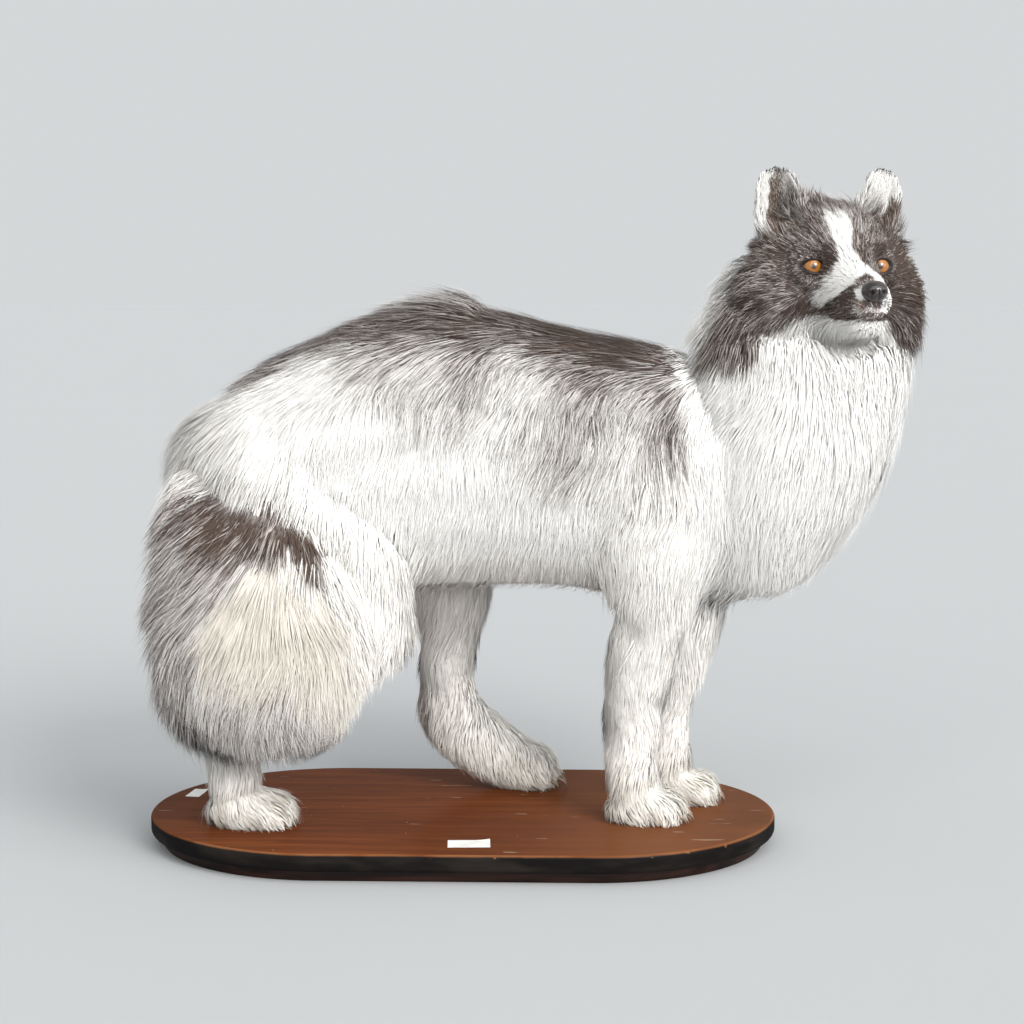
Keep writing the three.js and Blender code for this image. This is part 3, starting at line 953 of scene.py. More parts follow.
def unwrap(points, shapes):
    """Places on a map of the skin: a column for each form, as wide as its share of the roots."""
    gaps, runs, turns = [], [], []
    for shape in shapes:
        run, middle, radius, across, through = axis_of(shape)
        gap = distances(points, middle) - radius
        nearest = gap.argmin(1)
        ray = points - middle[nearest]
        gaps.append(gap.min(1))
        runs.append(run[nearest])
        turns.append(np.arctan2((ray * through[nearest]).sum(1), (ray * across[nearest]).sum(1)))
    column = np.argmin(gaps, 0)
    width = np.bincount(column, minlength=len(shapes)) / len(points)
    start = np.cumsum(width) - width
    pick = np.arange(len(points))
    turn = np.array(turns)[column, pick] / (2 * math.pi) + 0.5
    place = np.stack([start[column] + turn * width[column], np.array(runs)[column, pick]], 1)
    edge = 2 * PATCH
    return place * (1 - 2 * edge) + edge


def sow(skin, chosen, count):
    """Roots spread evenly by area over the chosen triangles, with the skin's values carried to each."""
    corners = skin["triangles"][chosen]
    weight = skin["area"][chosen] * skin["density"][corners].mean(1)
    total = np.cumsum(weight)
    which = np.searchsorted(total, (np.arange(count) + rng.random(count)) / count * total[-1])
    which = np.minimum(which, len(total) - 1)
    a, b = rng.random(count), rng.random(count)
    fold = a + b > 1
    a[fold], b[fold] = 1 - a[fold], 1 - b[fold]
    share = np.stack([1 - a - b, a, b], 1)[:, :, None]

    def carried(name):
        values = skin[name] if skin[name].ndim > 1 else skin[name][:, None]
        return (values[corners[which]] * share).sum(1)

    hair = {name: carried(name)[:, 0] for name in ("length", "depth", "free", "proud")}
    hair |= {"root": carried("points"), "shares": carried("shares")}
    return hair | {name: unit(carried(name)) for name in ("normal", "lie")}


def nearest_seeds(roots, seeds):
    """For each root, which of the seeds its clump grows about."""
    tree = KDTree(len(seeds))
    for index, seed in enumerate(seeds):
        tree.insert(roots[seed], index)
    tree.balance()
    return np.array([tree.find(root)[1] for root in roots])


def lock_mesh(name, hair, middle, tip, half, **values):
    """One mesh of all the locks: a pointed root, a flat three-cornered ring in the middle and a tip."""
    root, normal = hair["root"], hair["normal"]
    count = len(root)
    way = unit(tip - root)
    top = unit(normal - way * (normal * way).sum(1, keepdims=True))
    beside = np.cross(top, way)
    ring = np.stack([middle + beside * half - top * half * 0.10, middle + top * half * 0.26,
                     middle - beside * half - top * half * 0.10], 1)
    points = np.concatenate([root[:, None], ring, tip[:, None]], 1)
    spread = np.stack([beside, top, -beside], 1)
    outward = unit(normal + top)
    soft = np.concatenate([normal[:, None], unit(outward[:, None] * 0.9 + spread * 0.22),
                           unit(outward * 0.9 + way * 0.1)[:, None]], 1)
    per_lock = points.shape[1]
    triangles = (np.arange(count)[:, None, None] * per_lock + LOCK_FACES).reshape(-1, 3)
    mesh = bpy.data.meshes.new(name)
    mesh.vertices.add(count * per_lock)
    mesh.vertices.foreach_set("co", points.astype(np.float32).ravel())
    mesh.loops.add(triangles.size)
    mesh.loops.foreach_set("vertex_index", triangles.astype(np.int32).ravel())
    mesh.polygons.add(len(triangles))
    mesh.polygons.foreach_set("loop_start", np.arange(0, triangles.size, 3, dtype=np.int32))
    mesh.update(calc_edges=True)

    values = {label: np.repeat(numbers, per_lock) for label, numbers in values.items()}
    set_attributes(mesh, **values, along=np.tile(LOCK_LEVEL, count), across=np.tile(LOCK_TURN, count))
    shapes = [shape for shape in FORMS if hair["shares"][:, REGIONS.index(shape.region)].max() > 0.5]
    corner = unwrap(root, shapes)[:, None] + np.stack([LOCK_TURN, LOCK_LEVEL], 1) * PATCH
    chart = mesh.uv_layers.new(name="OFBake")
    chart.data.foreach_set("uv", corner.reshape(-1, 2)[triangles.ravel()].astype(np.float32).ravel())
    shade_smooth(mesh)
    mesh.normals_split_custom_set_from_vertices(soft.reshape(-1, 3).tolist())
    return mesh


def coat_piece(name, skin, outline, chosen, count, slot, material, width=1.3, clump=9, pull=0.30,
               stray=0.07, layer=5.0, wild=6.0, contrast=2.6):
    """Locks rooted on the chosen triangles, laid along the skin and gathered into clumps.

    Width is a lock's, clump the number of locks in one, and pull how far their tips are drawn together.
    The locks lie one over another in a layer of the given depth; stray is the share of odd hairs, and
    wild how far they stand out. Contrast is how sharply the dark locks stand apart from the pale ones.
    """
    hair = sow(skin, chosen, count)
    root, normal = hair["root"], hair["normal"]
    aside = np.cross(normal, hair["lie"])
    seeds = rng.choice(count, max(count // clump, 1), replace=False)
    seed = nearest_seeds(root, seeds)
    swerve = OWN_SWERVE * (rng.normal(size=count) + rng.normal(size=len(seeds))[seed])
    swerve = SWERVE * waves(root, 34, 21) + swerve
    lie = unit(hair["lie"] + aside * swerve[:, None])
    own = rng.random(count)
    stand = 0.55 * own + 0.45 * rng.random(len(seeds))[seed]
    sink = (1 - stand) * np.minimum(0.34 * hair["depth"], layer * MM)
    length = hair["length"] * MM * (0.72 + 0.36 * rng.random(count))
    shaggy = hair["free"] / FREEST
    is_stray = rng.random(count) < stray + 0.15 * shaggy
    length[is_stray] *= STRAY_LENGTH
    height = np.minimum(np.where(is_stray, 1.25 * hair["depth"], hair["depth"] - sink), 0.80 * length)
    travel = np.sqrt(length ** 2 - height ** 2)
    droop = 0.14 * length * smooth(0.9, -0.2, normal[:, 2]) * smooth(12 * MM, 40 * MM, length)

    def path(s):
        rise = 1 - (1 - s) ** RISE
        return (root + lie * (travel * s)[:, None] + normal * (height * rise)[:, None]
                + DOWN * (droop * s * s)[:, None])

    tip = path(1.0)
    gather = tip[seeds][seed] - tip
    far = np.maximum(np.linalg.norm(gather, axis=1), 1e-9)
    gather *= (np.minimum(1, TIP_REACH / far) * (pull + 0.4 * shaggy))[:, None]
    give = np.where(is_stray, wild * MM, 0) + stand * hair["free"] * MM - 0.5 * sink + hair["proud"]

    def laid(s):
        """The lock's place at s, drawn towards its clump's tip and pressed to the outline of the coat."""
        line = path(s) + gather * s * s
        for index, point in enumerate(line):
            place, way, beyond = outside_by(outline, point)
            if beyond > give[index] * s:
                line[index] = place + way * give[index] * s
        return line

    middle, tip = laid(MIDDLE), laid(1.0)
    tone, brown, cream = markings(root + (tip - root) * SHOWN, hair["shares"])
    draw = rng.random(count) + 0.3 * (rng.random(len(seeds))[seed] - 0.5)
    dark = np.clip(0.5 + contrast * (tone - draw), 0, 1) * smooth(0.0, 0.12, tone)
    slender = mixed(1.0 - 0.35 * tone, 0.48 + 0.52 * tone, dark)
    fine = np.where(is_stray, 0.30 + 0.25 * np.minimum(shaggy, 1), slender)
    half = (width * MM / 2 * (0.70 + 0.6 * rng.random(count)) * fine)[:, None]
    marks = {"tone": tone, "dark": dark, "brown": brown, "cream": cream, "streak": rng.random(count)}
    finished(name, lock_mesh(name, hair, middle, tip, half, **marks), slot, material)


THINNEST = 1.5 * MM                    # the coat is nowhere thinner
THICKEST = 46 * MM
SOLE = 1.5 * MM                        # no hair is rooted this near the deck


def skin_values(mesh, outline):
    """All that the coat needs to know of the skin, at its vertices and triangles."""
    mesh.calc_loop_triangles()
    triangles = np.empty(len(mesh.loop_triangles) * 3, np.int32)
    mesh.loop_triangles.foreach_get("vertices", triangles)
    triangles = triangles.reshape(-1, 3)
    points, normals = coords_of(mesh), normals_of(mesh)
    a, b, c = points[triangles.T]
    shares = region_shares(points)
    depth = np.array([-outside_by(outline, point)[2] for point in points])
    spot = head_coords(points)
    lids = [smooth(1.16, 1.06, eye_place(points, side)[0]) for side in EYES]
    lips = smooth(1.8, 0.9, mouth_gap(points)) * smooth(-30, -20, spot[:, 1])
    round_nose = 0.8 * smooth(61, 63, spot[:, 1]) * smooth(-36, -32, spot[:, 2])
    bare = np.max([*lids, lips, round_nose], 0)
    behind_tip = smooth(82, 87, spot[:, 2]) * smooth(0.1, -0.3, normals @ FORWARD)
    density = np.where(points[:, 2] < DECK + SOLE, 0, (1 - bare) * (1 - behind_tip))
    swell = 1 + 0.45 * crest(points) - 0.4 * under_jaw(spot)
    raised = MM * (9 * crown(spot) + 20 * left_cheek(spot) + 1.5 * under_jaw(spot))
    return {"triangles": triangles, "area": np.linalg.norm(np.cross(b - a, c - a), axis=1) / 2,
            "points": points, "normal": normals, "shares": shares, "lie": lies(points, normals, shares),
            "depth": np.clip(depth, THINNEST, THICKEST) * swell + raised,
            "proud": np.maximum(THINNEST - depth, 0),
            "free": freedom(points, shares), "length": lengths(points, shares),
            "bare": bare, "density": density}


# ------------------------------------------------------------------ node helpers

def node(tree, kind, inputs=None, **settings):
    """A node with its settings and inputs; an input is a plain value or another node's output."""
    made = tree.nodes.new(kind)
    for key, value in settings.items():
        setattr(made, key, value)
    for key, value in (inputs or {}).items():
        if isinstance(value, bpy.types.NodeSocket):
            tree.links.new(value, made.inputs[key])
        else:
            made.inputs[key].default_value = value
    return made


def maths(tree, operation, a, b=0.0):
    return node(tree, "ShaderNodeMath", {0: a, 1: b}, operation=operation).outputs[0]


def times(tree, *values):
    """The product of all the values."""
    total = values[0]
    for value in values[1:]:
        total = maths(tree, "MULTIPLY", total, value)
    return total


def rest_of(tree, share):
    """What is left of 1."""
    return maths(tree, "SUBTRACT", 1.0, share)


def step(tree, value, low, high, start=0.0, end=1.0):
    """A soft step from `start` to `end` as the value goes from low to high."""
    return node(tree, "ShaderNodeMapRange", {"Value": value, 1: low, 2: high, 3: start, 4: end},
                interpolation_type="SMOOTHSTEP").outputs[0]


def blend_colour(tree, share, a, b):
    """Colour a, turning to colour b as the share goes from 0 to 1."""
    def rgba(value):
        return value if isinstance(value, bpy.types.NodeSocket) else (*value, 1)
    return node(tree, "ShaderNodeMix", {0: share, 6: rgba(a), 7: rgba(b)}, data_type="RGBA").outputs[2]


def attribute(tree, name):
    return node(tree, "ShaderNodeAttribute", attribute_name=name).outputs["Fac"]


def place_of(tree, scale=(1, 1, 1), location=(0, 0, 0), rotation=(0, 0, 0), kind="POINT"):
    where = node(tree, "ShaderNodeTexCoord").outputs["Object"]
    return node(tree, "ShaderNodeMapping", {"Vector": where, "Scale": scale, "Location": location,
                                            "Rotation": rotation}, vector_type=kind).outputs[0]


def noise(tree, vector, scale, detail=3.0, roughness=0.5):
    return node(tree, "ShaderNodeTexNoise", {"Vector": vector, "Scale": scale, "Detail": detail,
                                             "Roughness": roughness}).outputs[0]


def cells(tree, vector, scale, kind="F1"):
    """Distance from the middle of the nearest of many small cells."""
    made = node(tree, "ShaderNodeTexVoronoi", {"Vector": vector, "Scale": scale}, feature=kind)
    return made.outputs["Distance"]


def combined(tree, x=0.0, y=0.0, z=0.0):
    return node(tree, "ShaderNodeCombineXYZ", {0: x, 1: y, 2: z}).outputs[0]


def split(tree, vector):
    return node(tree, "ShaderNodeSeparateXYZ", {0: vector}).outputs


def vector_maths(tree, operation, *vectors):
    return node(tree, "ShaderNodeVectorMath", dict(enumerate(vectors)), operation=operation).outputs


def bumped(tree, height, strength, distance):
    return node(tree, "ShaderNodeBump", {"Height": height, "Strength": strength,
                                         "Distance": distance}).outputs[0]


def new_material(name, **settings):
    """A material with plain values for its shader's sockets, by socket name, and its tree."""
    made = bpy.data.materials.new(name)
    made.use_nodes = True
    shader = made.node_tree.nodes["Principled BSDF"]
    for key, value in settings.items():
        shader.inputs[key.replace("_", " ")].default_value = value
    return made, made.node_tree


def varied(made, colour, **sockets):
    """The material, its colour and other sockets fed by what changes over the surface."""
    shader = made.node_tree.nodes["Principled BSDF"]
    for key, value in {"Base Color": colour, **sockets}.items():
        made.node_tree.links.new(value, shader.inputs[key])
    return made


def group_of(name, inputs, output):
    """An empty node group with the named numbers going in and one colour coming out."""
    group = bpy.data.node_groups.new(name, "ShaderNodeTree")
    for label in inputs:
        socket = group.interface.new_socket(label, in_out="INPUT", socket_type="NodeSocketFloat")
        socket.default_value = 0.5
    group.interface.new_socket(output, in_out="OUTPUT", socket_type="NodeSocketColor")
    return group, group.nodes.new("NodeGroupInput").outputs, group.nodes.new("NodeGroupOutput")


# ------------------------------------------------------------------ finishes of coat and hide

SNOW = (0.83, 0.82, 0.798)
CREAM = (0.56, 0.515, 0.44)
ASH = (0.36, 0.315, 0.295)
SOOT = (0.025, 0.018, 0.018)
UMBER = (0.125, 0.078, 0.050)
UNDERCOAT = (0.24, 0.215, 0.21)
BARE = (0.009, 0.006, 0.006)
COAT_INPUTS = ("Tone", "Dark", "Brown", "Cream", "Along", "Across", "Streak")


def coat_colour_group():
    """Colour of a lock: pale or dark by its own draw, greyer in a dark region, changing to its tip."""
    group, given, result = group_of("coat_colour", COAT_INPUTS, "Colour")
    pale = blend_colour(group, given["Cream"], SNOW, CREAM)
    pale = blend_colour(group, step(group, given["Tone"], 0.08, 0.95, 0.0, 0.9), pale, ASH)
    tip = blend_colour(group, given["Brown"], SOOT, UMBER)
    tip = blend_colour(group, step(group, given["Tone"], 0.20, 0.85, 0.75, 0.0), tip, UNDERCOAT)
    dark = blend_colour(group, step(group, given["Along"], 0.05, 0.45), UNDERCOAT, tip)
    strand_place = combined(group, x=times(group, given["Across"], 3.2), y=times(group, given["Along"], 1.6),
                            z=times(group, given["Streak"], 90.0))
    strand = noise(group, strand_place, 1.0, detail=1.0)
    ringed = times(group, step(group, given["Along"], 0.30, 0.60), step(group, given["Along"], 1.0, 0.80))
    silver = times(group, ringed, step(group, given["Streak"], 0.66, 0.82, 0.0, 0.80),
                   step(group, given["Tone"], 1.0, 0.92))
    darkness = times(group, given["Dark"], rest_of(group, silver))
    between = times(group, darkness, rest_of(group, darkness))
    mottled = times(group, maths(group, "SUBTRACT", strand, 0.5), between, 3.4)
    colour = blend_colour(group, maths(group, "ADD", darkness, mottled), pale, dark)
    value = step(group, strand, 0.25, 0.75, 0.90, 1.05)
    colour = node(group, "ShaderNodeHueSaturation", {"Color": colour, "Value": value}).outputs[0]
    group.links.new(colour, result.inputs["Colour"])
    return group


def coat_colour(tree, group):
    """The coat's colour from the marks that the mesh carries."""
    made = node(tree, "ShaderNodeGroup", node_tree=group)
    for label in COAT_INPUTS:
        tree.links.new(attribute(tree, label.lower()), made.inputs[label])
    return made.outputs[0]


def coat_material(name, group, roughness, sheen):
    """Fur in the coat's colours, with a soft bloom."""
    made, tree = new_material(name, Roughness=roughness, Specular_IOR_Level=0.2, Sheen_Weight=sheen,
                              Sheen_Roughness=0.5)
    return varied(made, coat_colour(tree, group))


def hide_material(group):
    """Short flat fur on the skin itself, and bare black skin on the lids and lips."""
    made, tree = new_material("hide", Specular_IOR_Level=0.3)
    bare = attribute(tree, "bare")
    colour = blend_colour(tree, bare, coat_colour(tree, group), BARE)
    mottle = noise(tree, place_of(tree), 900, detail=4)
    return varied(made, colour, Roughness=step(tree, bare, 0.2, 1.0, 0.85, 0.38),
                  Normal=bumped(tree, mottle, 0.5, 0.0006))


# ------------------------------------------------------------------ eyes, nose, claws and whiskers

GAZE_TURN = math.radians(12)           # how far both eyes look to the fox's right of straight ahead
IRIS = 8.2 * MM
PUPIL = 1.7 * MM


def gaze_matrix():
    """Axes of the eyes' gaze: across, up and ahead along the look."""
    look = unit(FORWARD * math.cos(GAZE_TURN) - LEFTWARD * math.sin(GAZE_TURN) + UP * 0.02)
    across = unit(np.cross(UP, look))
    return Matrix(np.stack([across, np.cross(look, across), look], 1).tolist())


def eyeball(name, middle):
    """A glass eye: a ball whose clear front stands a little proud."""
    bm = bmesh.new()
    bmesh.ops.create_uvsphere(bm, u_segments=64, v_segments=48, radius=EYE_RADIUS)
    for vertex in bm.verts:
        angle = math.atan2(math.hypot(vertex.co.x, vertex.co.y), vertex.co.z)
        vertex.co *= 1 + 0.06 * math.exp(-(angle / 0.62) ** 2)
    bmesh.ops.transform(bm, matrix=Matrix.Translation(middle) @ gaze_matrix().to_4x4(), verts=bm.verts[:])
    return smooth_mesh(bm, name)


AMBER = (0.27, 0.088, 0.009)
HONEY = (0.38, 0.155, 0.016)
RUST = (0.12, 0.030, 0.004)
EYE_RIM = (0.010, 0.007, 0.006)


def eye_material(name, middle):
    """Amber iris with fine spokes, a small dark pupil and a black rim under clear glass."""
    made, tree = new_material(name, Roughness=0.12, Coat_Weight=1.0, Coat_Roughness=0.02, Coat_IOR=1.52)
    place = place_of(tree, location=tuple(middle), rotation=tuple(gaze_matrix().to_euler()), kind="TEXTURE")
    across, up, ahead = split(tree, place)
    flat = combined(tree, x=across, y=up)
    radius = vector_maths(tree, "LENGTH", flat)["Value"]
    spokes = noise(tree, vector_maths(tree, "NORMALIZE", flat)[0], 9.0, detail=4, roughness=0.65)
    flecks = noise(tree, place, 700, detail=2)
    colour = blend_colour(tree, step(tree, spokes, 0.35, 0.65), AMBER, HONEY)
    colour = blend_colour(tree, step(tree, radius, PUPIL * 2.0, PUPIL * 1.05), colour, RUST)
    colour = blend_colour(tree, step(tree, flecks, 0.5, 0.75, 0.0, 0.25), colour, RUST)
    colour = blend_colour(tree, step(tree, radius, IRIS * 0.74, IRIS * 0.98, 0.0, 0.8), colour, RUST)
    colour = blend_colour(tree, step(tree, radius, IRIS * 0.95, IRIS * 1.02), colour, EYE_RIM)
    colour = blend_colour(tree, step(tree, radius, PUPIL * 1.08, PUPIL * 0.9), colour, EYE_RIM)
    return varied(made, blend_colour(tree, step(tree, ahead, 0.0, 0.001), EYE_RIM, colour))


NOSE_MIDDLE = (-2.0, 63.8, -20.6)
NOSE_HALF = (11.0, 10.2, 9.2)
NOSE_SQUARE = 2.5                      # 2 would leave the pad round


def nose_pad():
    """The bare nose: a rounded pad with two comma nostrils and a cleft below."""
    bm = bmesh.new()
    bmesh.ops.create_uvsphere(bm, u_segments=72, v_segments=56, radius=1.0)
    bmesh.ops.rotate(bm, verts=bm.verts[:], matrix=Matrix.Rotation(math.pi / 2, 3, "X"))
    for vertex in bm.verts:
        x, y, z = vertex.co
        y = -y
        square = (abs(x) ** NOSE_SQUARE + abs(z) ** NOSE_SQUARE + 1e-9) ** (1 / NOSE_SQUARE)
        fuller = mixed(1, (math.hypot(x, z) + 1e-9) / square, 0.7)
        x *= fuller
        z *= fuller
        side = abs(x)
        hole = math.exp(-(((side - 0.47) / 0.17) ** 2 + ((z + 0.06 + 0.35 * (side - 0.47)) / 0.17) ** 2))
        slit = math.exp(-(((side - 0.80) / 0.20) ** 2 + ((z + 0.32) / 0.09) ** 2))
        cleft = math.exp(-(x / 0.06) ** 2) * smooth(0.35, -0.1, z)
        dent = (0.46 * hole * smooth(0.1, 0.5, y) + 0.20 * slit * smooth(-0.2, 0.3, y)
                + 0.12 * cleft * smooth(0.2, 0.6, y))
        wing = 0.05 * math.exp(-(((side - 0.62) / 0.2) ** 2 + ((z - 0.16) / 0.2) ** 2))
        reach = 1 - dent + wing
        narrow = 1 - 0.20 * smooth(-0.1, -1.0, z)
        offset = np.array([x * narrow * (1 + wing), y * reach, z]) * NOSE_HALF
        vertex.co = head_point(*(NOSE_MIDDLE + offset))
    return smooth_mesh(bm, "nose_pad")


def nose_material():
    """Near-black pebbled leather, glossy and a little stained, with painted shade in the grooves between
    pebbles.
    """
    made, tree = new_material("nose_leather", Specular_IOR_Level=0.2, Coat_Weight=1.0, Coat_Roughness=0.07)
    place = place_of(tree)
    pebble = cells(tree, place, 1150.0, "SMOOTH_F1")
    stain = noise(tree, place, 160, detail=3)
    colour = blend_colour(tree, step(tree, stain, 0.42, 0.68), (0.010, 0.008, 0.008), (0.045, 0.030, 0.026))
    # Painted shade: darker in the grooves between the pebbles.
    colour = blend_colour(tree, step(tree, pebble, 0.3, 0.7, 0.0, 0.6), colour, (0.008, 0.006, 0.006))
    return varied(made, colour, Roughness=step(tree, stain, 0.3, 0.7, 0.28, 0.45),
                  Normal=bumped(tree, rest_of(tree, pebble), 0.55, 0.0005))


def bent_cone(bm, points, radii, around=8):
    """A tapering round spike through the points, closed at both ends."""
    rows = np.array(points, float)
    ways = unit(np.gradient(rows, axis=0))
    rings = []
    for point, way, radius in zip(rows, ways, radii):
        turn = Vector(way).to_track_quat("Z", "Y").to_matrix().to_4x4()
        place = Matrix.Translation(point) @ turn
        rings.append(bmesh.ops.create_circle(bm, segments=around, radius=radius, matrix=place)["verts"])
    for low, high in zip(rings, rings[1:]):
        for i in range(around):
            j = (i + 1) % around
            bm.faces.new((low[i], low[j], high[j], high[i]))
    bm.faces.new(rings[0][::-1])
    bm.faces.new(rings[-1])


CLAW_ROUTE = ((-6, 9), (-1, 9), (3, 6), (5, 2))    # ahead of the toe's tip and above the deck
CLAW_RADII = (1.7, 1.6, 1.1, 0.25)


def claws():
    """Four short claws on each foot, curving down from the toes."""
    bm = bmesh.new()
    floor = DECK / MM
    for x, y, spread in FEET.values():
        for place, reach in TOES:
            tip_x, toe_y = x + PAW_AHEAD + reach, y + place * TOE_PITCH * spread
            route = [[tip_x + ahead, toe_y, floor + high] for ahead, high in CLAW_ROUTE]
            bent_cone(bm, np.array(route) * MM, np.array(CLAW_RADII) * MM)
    return smooth_mesh(bm, "claws")


def claw_material():
    """Brown horn, streaked along the claw."""
    made, tree = new_material("claw_horn", Roughness=0.35)
    grain = noise(tree, place_of(tree, scale=(1, 4, 4)), 260, detail=3)
    colour = blend_colour(tree, grain, (0.10, 0.065, 0.045), (0.33, 0.25, 0.18))
    return varied(made, colour, Normal=bumped(tree, grain, 0.3, 0.0003))


WHISKER_STEPS = 7
WHISKER_RADII = (0.24, 0.06)           # at the root and at the tip


def whiskers():
    """Bristles in three rows on each side of the muzzle, and a few over the eyes and on the cheeks."""
    draw = np.random.default_rng(77)
    bm = bmesh.new()
    run = np.linspace(0, 1, WHISKER_STEPS)[:, None]
    bend = np.array([0, -0.35, -0.22]) * run ** 2
    for side in (-1, 1):
        roots = [(10.5 + 0.13 * (58 - ahead), ahead, high, 48)
                 for high in (-31, -35, -39) for ahead in (54, 47, 40, 33)]
        roots += [(19, 2, 20, 26), (23, 0, 20, 22), (43, -20, -32, 34)]
        for aside, ahead, high, size in roots:
            size *= draw.uniform(0.7, 1.1)
            out = np.array([side * draw.uniform(0.75, 0.95), draw.uniform(-0.5, 0.1),
                            draw.uniform(-0.25, 0.12)])
            route = np.array([side * aside, ahead, high]) + (unit(out) * run + bend) * size
            bent_cone(bm, points_of(route), np.linspace(*WHISKER_RADII, WHISKER_STEPS) * MM, around=5)
    return smooth_mesh(bm, "whiskers")


def whisker_material():
    """Stiff dark hair, greyer in places."""
    made, tree = new_material("whisker_hair", Roughness=0.4)
    tint = noise(tree, place_of(tree), 90, detail=2)
    return varied(made, blend_colour(tree, tint, (0.02, 0.016, 0.015), (0.12, 0.10, 0.09)))


# ------------------------------------------------------------------ base and labels

BOARD_LOW, BOARD_HIGH = np.array(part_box("base_board")) / MM
BASE_LENGTH, BASE_WIDTH = (BOARD_HIGH - BOARD_LOW)[:2]
BOARD_UNDERSIDE = BOARD_LOW[2]
PLINTH_INSET = 11
PLINTH_GAP = 0.3                       # the plinth's top stays this far under the board


def oval_slab(name, length, width, low, high, top_round, foot_round, segments=6):
    """A slab with straight sides and half-round ends, its upper and lower edges rounded."""
    bm = bmesh.new()
    around = 128
    turn = Matrix.Rotation(math.pi / around, 4, "Z")
    bmesh.ops.create_circle(bm, cap_ends=True, segments=around, radius=width / 2 * MM, matrix=turn)
    straight = (length - width) / 2 * MM
    for vertex in bm.verts:
        vertex.co.x += math.copysign(straight, vertex.co.x)
        vertex.co.z = low * MM
    raised = bmesh.ops.extrude_face_region(bm, geom=bm.faces[:])["geom"]
    lifted = [item for item in raised if isinstance(item, bmesh.types.BMVert)]
    bmesh.ops.translate(bm, verts=lifted, vec=(0, 0, (high - low) * MM))
    bmesh.ops.recalc_face_normals(bm, faces=bm.faces[:])
    for level, rounding in ((high, top_round), (low, foot_round)):
        rim = [edge for edge in bm.edges if all(abs(end.co.z - level * MM) < 1e-6 for end in edge.verts)]
        bmesh.ops.bevel(bm, geom=rim, offset=rounding * MM, segments=segments, profile=0.5, affect="EDGES",
                        material=-1)
    mesh = mesh_of(bm, name)
    shade_smooth(mesh)
    mesh.set_sharp_from_angle(angle=math.radians(35))
    return mesh


WOOD = (0.110, 0.031, 0.010)
WOOD_LIGHT = (0.160, 0.046, 0.013)
WOOD_DRIFT = (0.072, 0.022, 0.009)
WOOD_PORE = (0.05, 0.018, 0.010)
# the colour of painted light on the deck's +X half
WOOD_PAINTED_LIGHT = (0.200, 0.082, 0.036)
WOOD_DARKER_ENDS = (0.050, 0.024, 0.015)
WOOD_SCRATCHED = (0.46, 0.36, 0.28)
WOOD_WORN = (0.19, 0.075, 0.03)
PAINT = (0.006, 0.005, 0.005)
PAINT_SMEARED = (0.017, 0.014, 0.012)


def varnish_material():
    """Warm brown wood under satin varnish, painted light on its +X half, its rounded edge painted black,
    with chips and scratches.
    """
    made, tree = new_material("varnished_wood", Specular_IOR_Level=0.0, Coat_Weight=0.10,
                              Coat_Roughness=0.25)
    long_grain = place_of(tree, scale=(0.10, 1.0, 1.0))
    drift = noise(tree, place_of(tree, scale=(0.35, 1.2, 1)), 5.5, detail=2)
    sway = combined(tree, y=times(tree, drift, 0.05))
    grain = noise(tree, vector_maths(tree, "ADD", long_grain, sway)[0], 95, detail=6, roughness=0.6)
    pores = noise(tree, place_of(tree, scale=(0.03, 1.0, 1.0)), 420, detail=3, roughness=0.7)
    colour = blend_colour(tree, step(tree, grain, 0.34, 0.66), WOOD, WOOD_LIGHT)
    colour = blend_colour(tree, step(tree, drift, 0.35, 0.72, 0.0, 0.55), colour, WOOD_DRIFT)
    colour = blend_colour(tree, step(tree, pores, 0.60, 0.74, 0.0, 0.5), colour, WOOD_PORE)
    place = place_of(tree)
    along, _, height = split(tree, place)
    cloud = noise(tree, place, 13, detail=3)
    # Painted light: the deck turns lighter towards +X, the side the key light comes from.
    colour = blend_colour(tree, step(tree, along, 0.0, 0.20, 0.0, 0.6), colour, WOOD_PAINTED_LIGHT)
    # Darker in clouds towards both ends of the deck.
    ends = step(tree, maths(tree, "ABSOLUTE", along), 0.17, 0.27, 0.0, 0.45)
    ends = times(tree, ends, step(tree, cloud, 0.35, 0.65))
    colour = blend_colour(tree, ends, colour, WOOD_DARKER_ENDS)

    scratch = noise(tree, place_of(tree, scale=(0.14, 1.0, 1.0), rotation=(0, 0, 0.35)), 160, detail=1)
    scratches = times(tree, step(tree, scratch, 0.735, 0.76), step(tree, cloud, 0.45, 0.6), 0.5)
    specks = step(tree, cells(tree, place, 46.0), 0.035, 0.02, 0.0, 0.6)
    marks = maths(tree, "MAXIMUM", scratches, specks)
    colour = blend_colour(tree, marks, colour, WOOD_SCRATCHED)

    wander = times(tree, noise(tree, place, 30, detail=4), 1.6 * MM)
    painted = step(tree, maths(tree, "ADD", height, wander), DECK + 0.2 * MM, DECK - 1.4 * MM)
    chip = noise(tree, place_of(tree, scale=(1, 1, 1.6)), 120, detail=2)
    chips = times(tree, step(tree, chip, 0.70, 0.735), step(tree, height, DECK - 6 * MM, DECK - 1 * MM))
    smear = noise(tree, place_of(tree, scale=(0.25, 0.25, 1)), 60, detail=3)
    paint = blend_colour(tree, step(tree, smear, 0.4, 0.7), PAINT, PAINT_SMEARED)
    bare_edge = step(tree, height, DECK - 0.05 * MM, DECK - 0.3 * MM)
    worn_rim = times(tree, bare_edge, step(tree, smear, 0.38, 0.55))
    colour = blend_colour(tree, worn_rim, colour, WOOD_WORN)
    colour = blend_colour(tree, times(tree, painted, rest_of(tree, chips)), colour, paint)

    worn = maths(tree, "ADD", step(tree, cloud, 0.3, 0.7, 0.30, 0.46), times(tree, marks, 0.2))
    relief = times(tree, maths(tree, "ADD", pores, smear), 0.5)
    return varied(made, colour, Roughness=worn, Normal=bumped(tree, relief, 0.18, 0.0006))


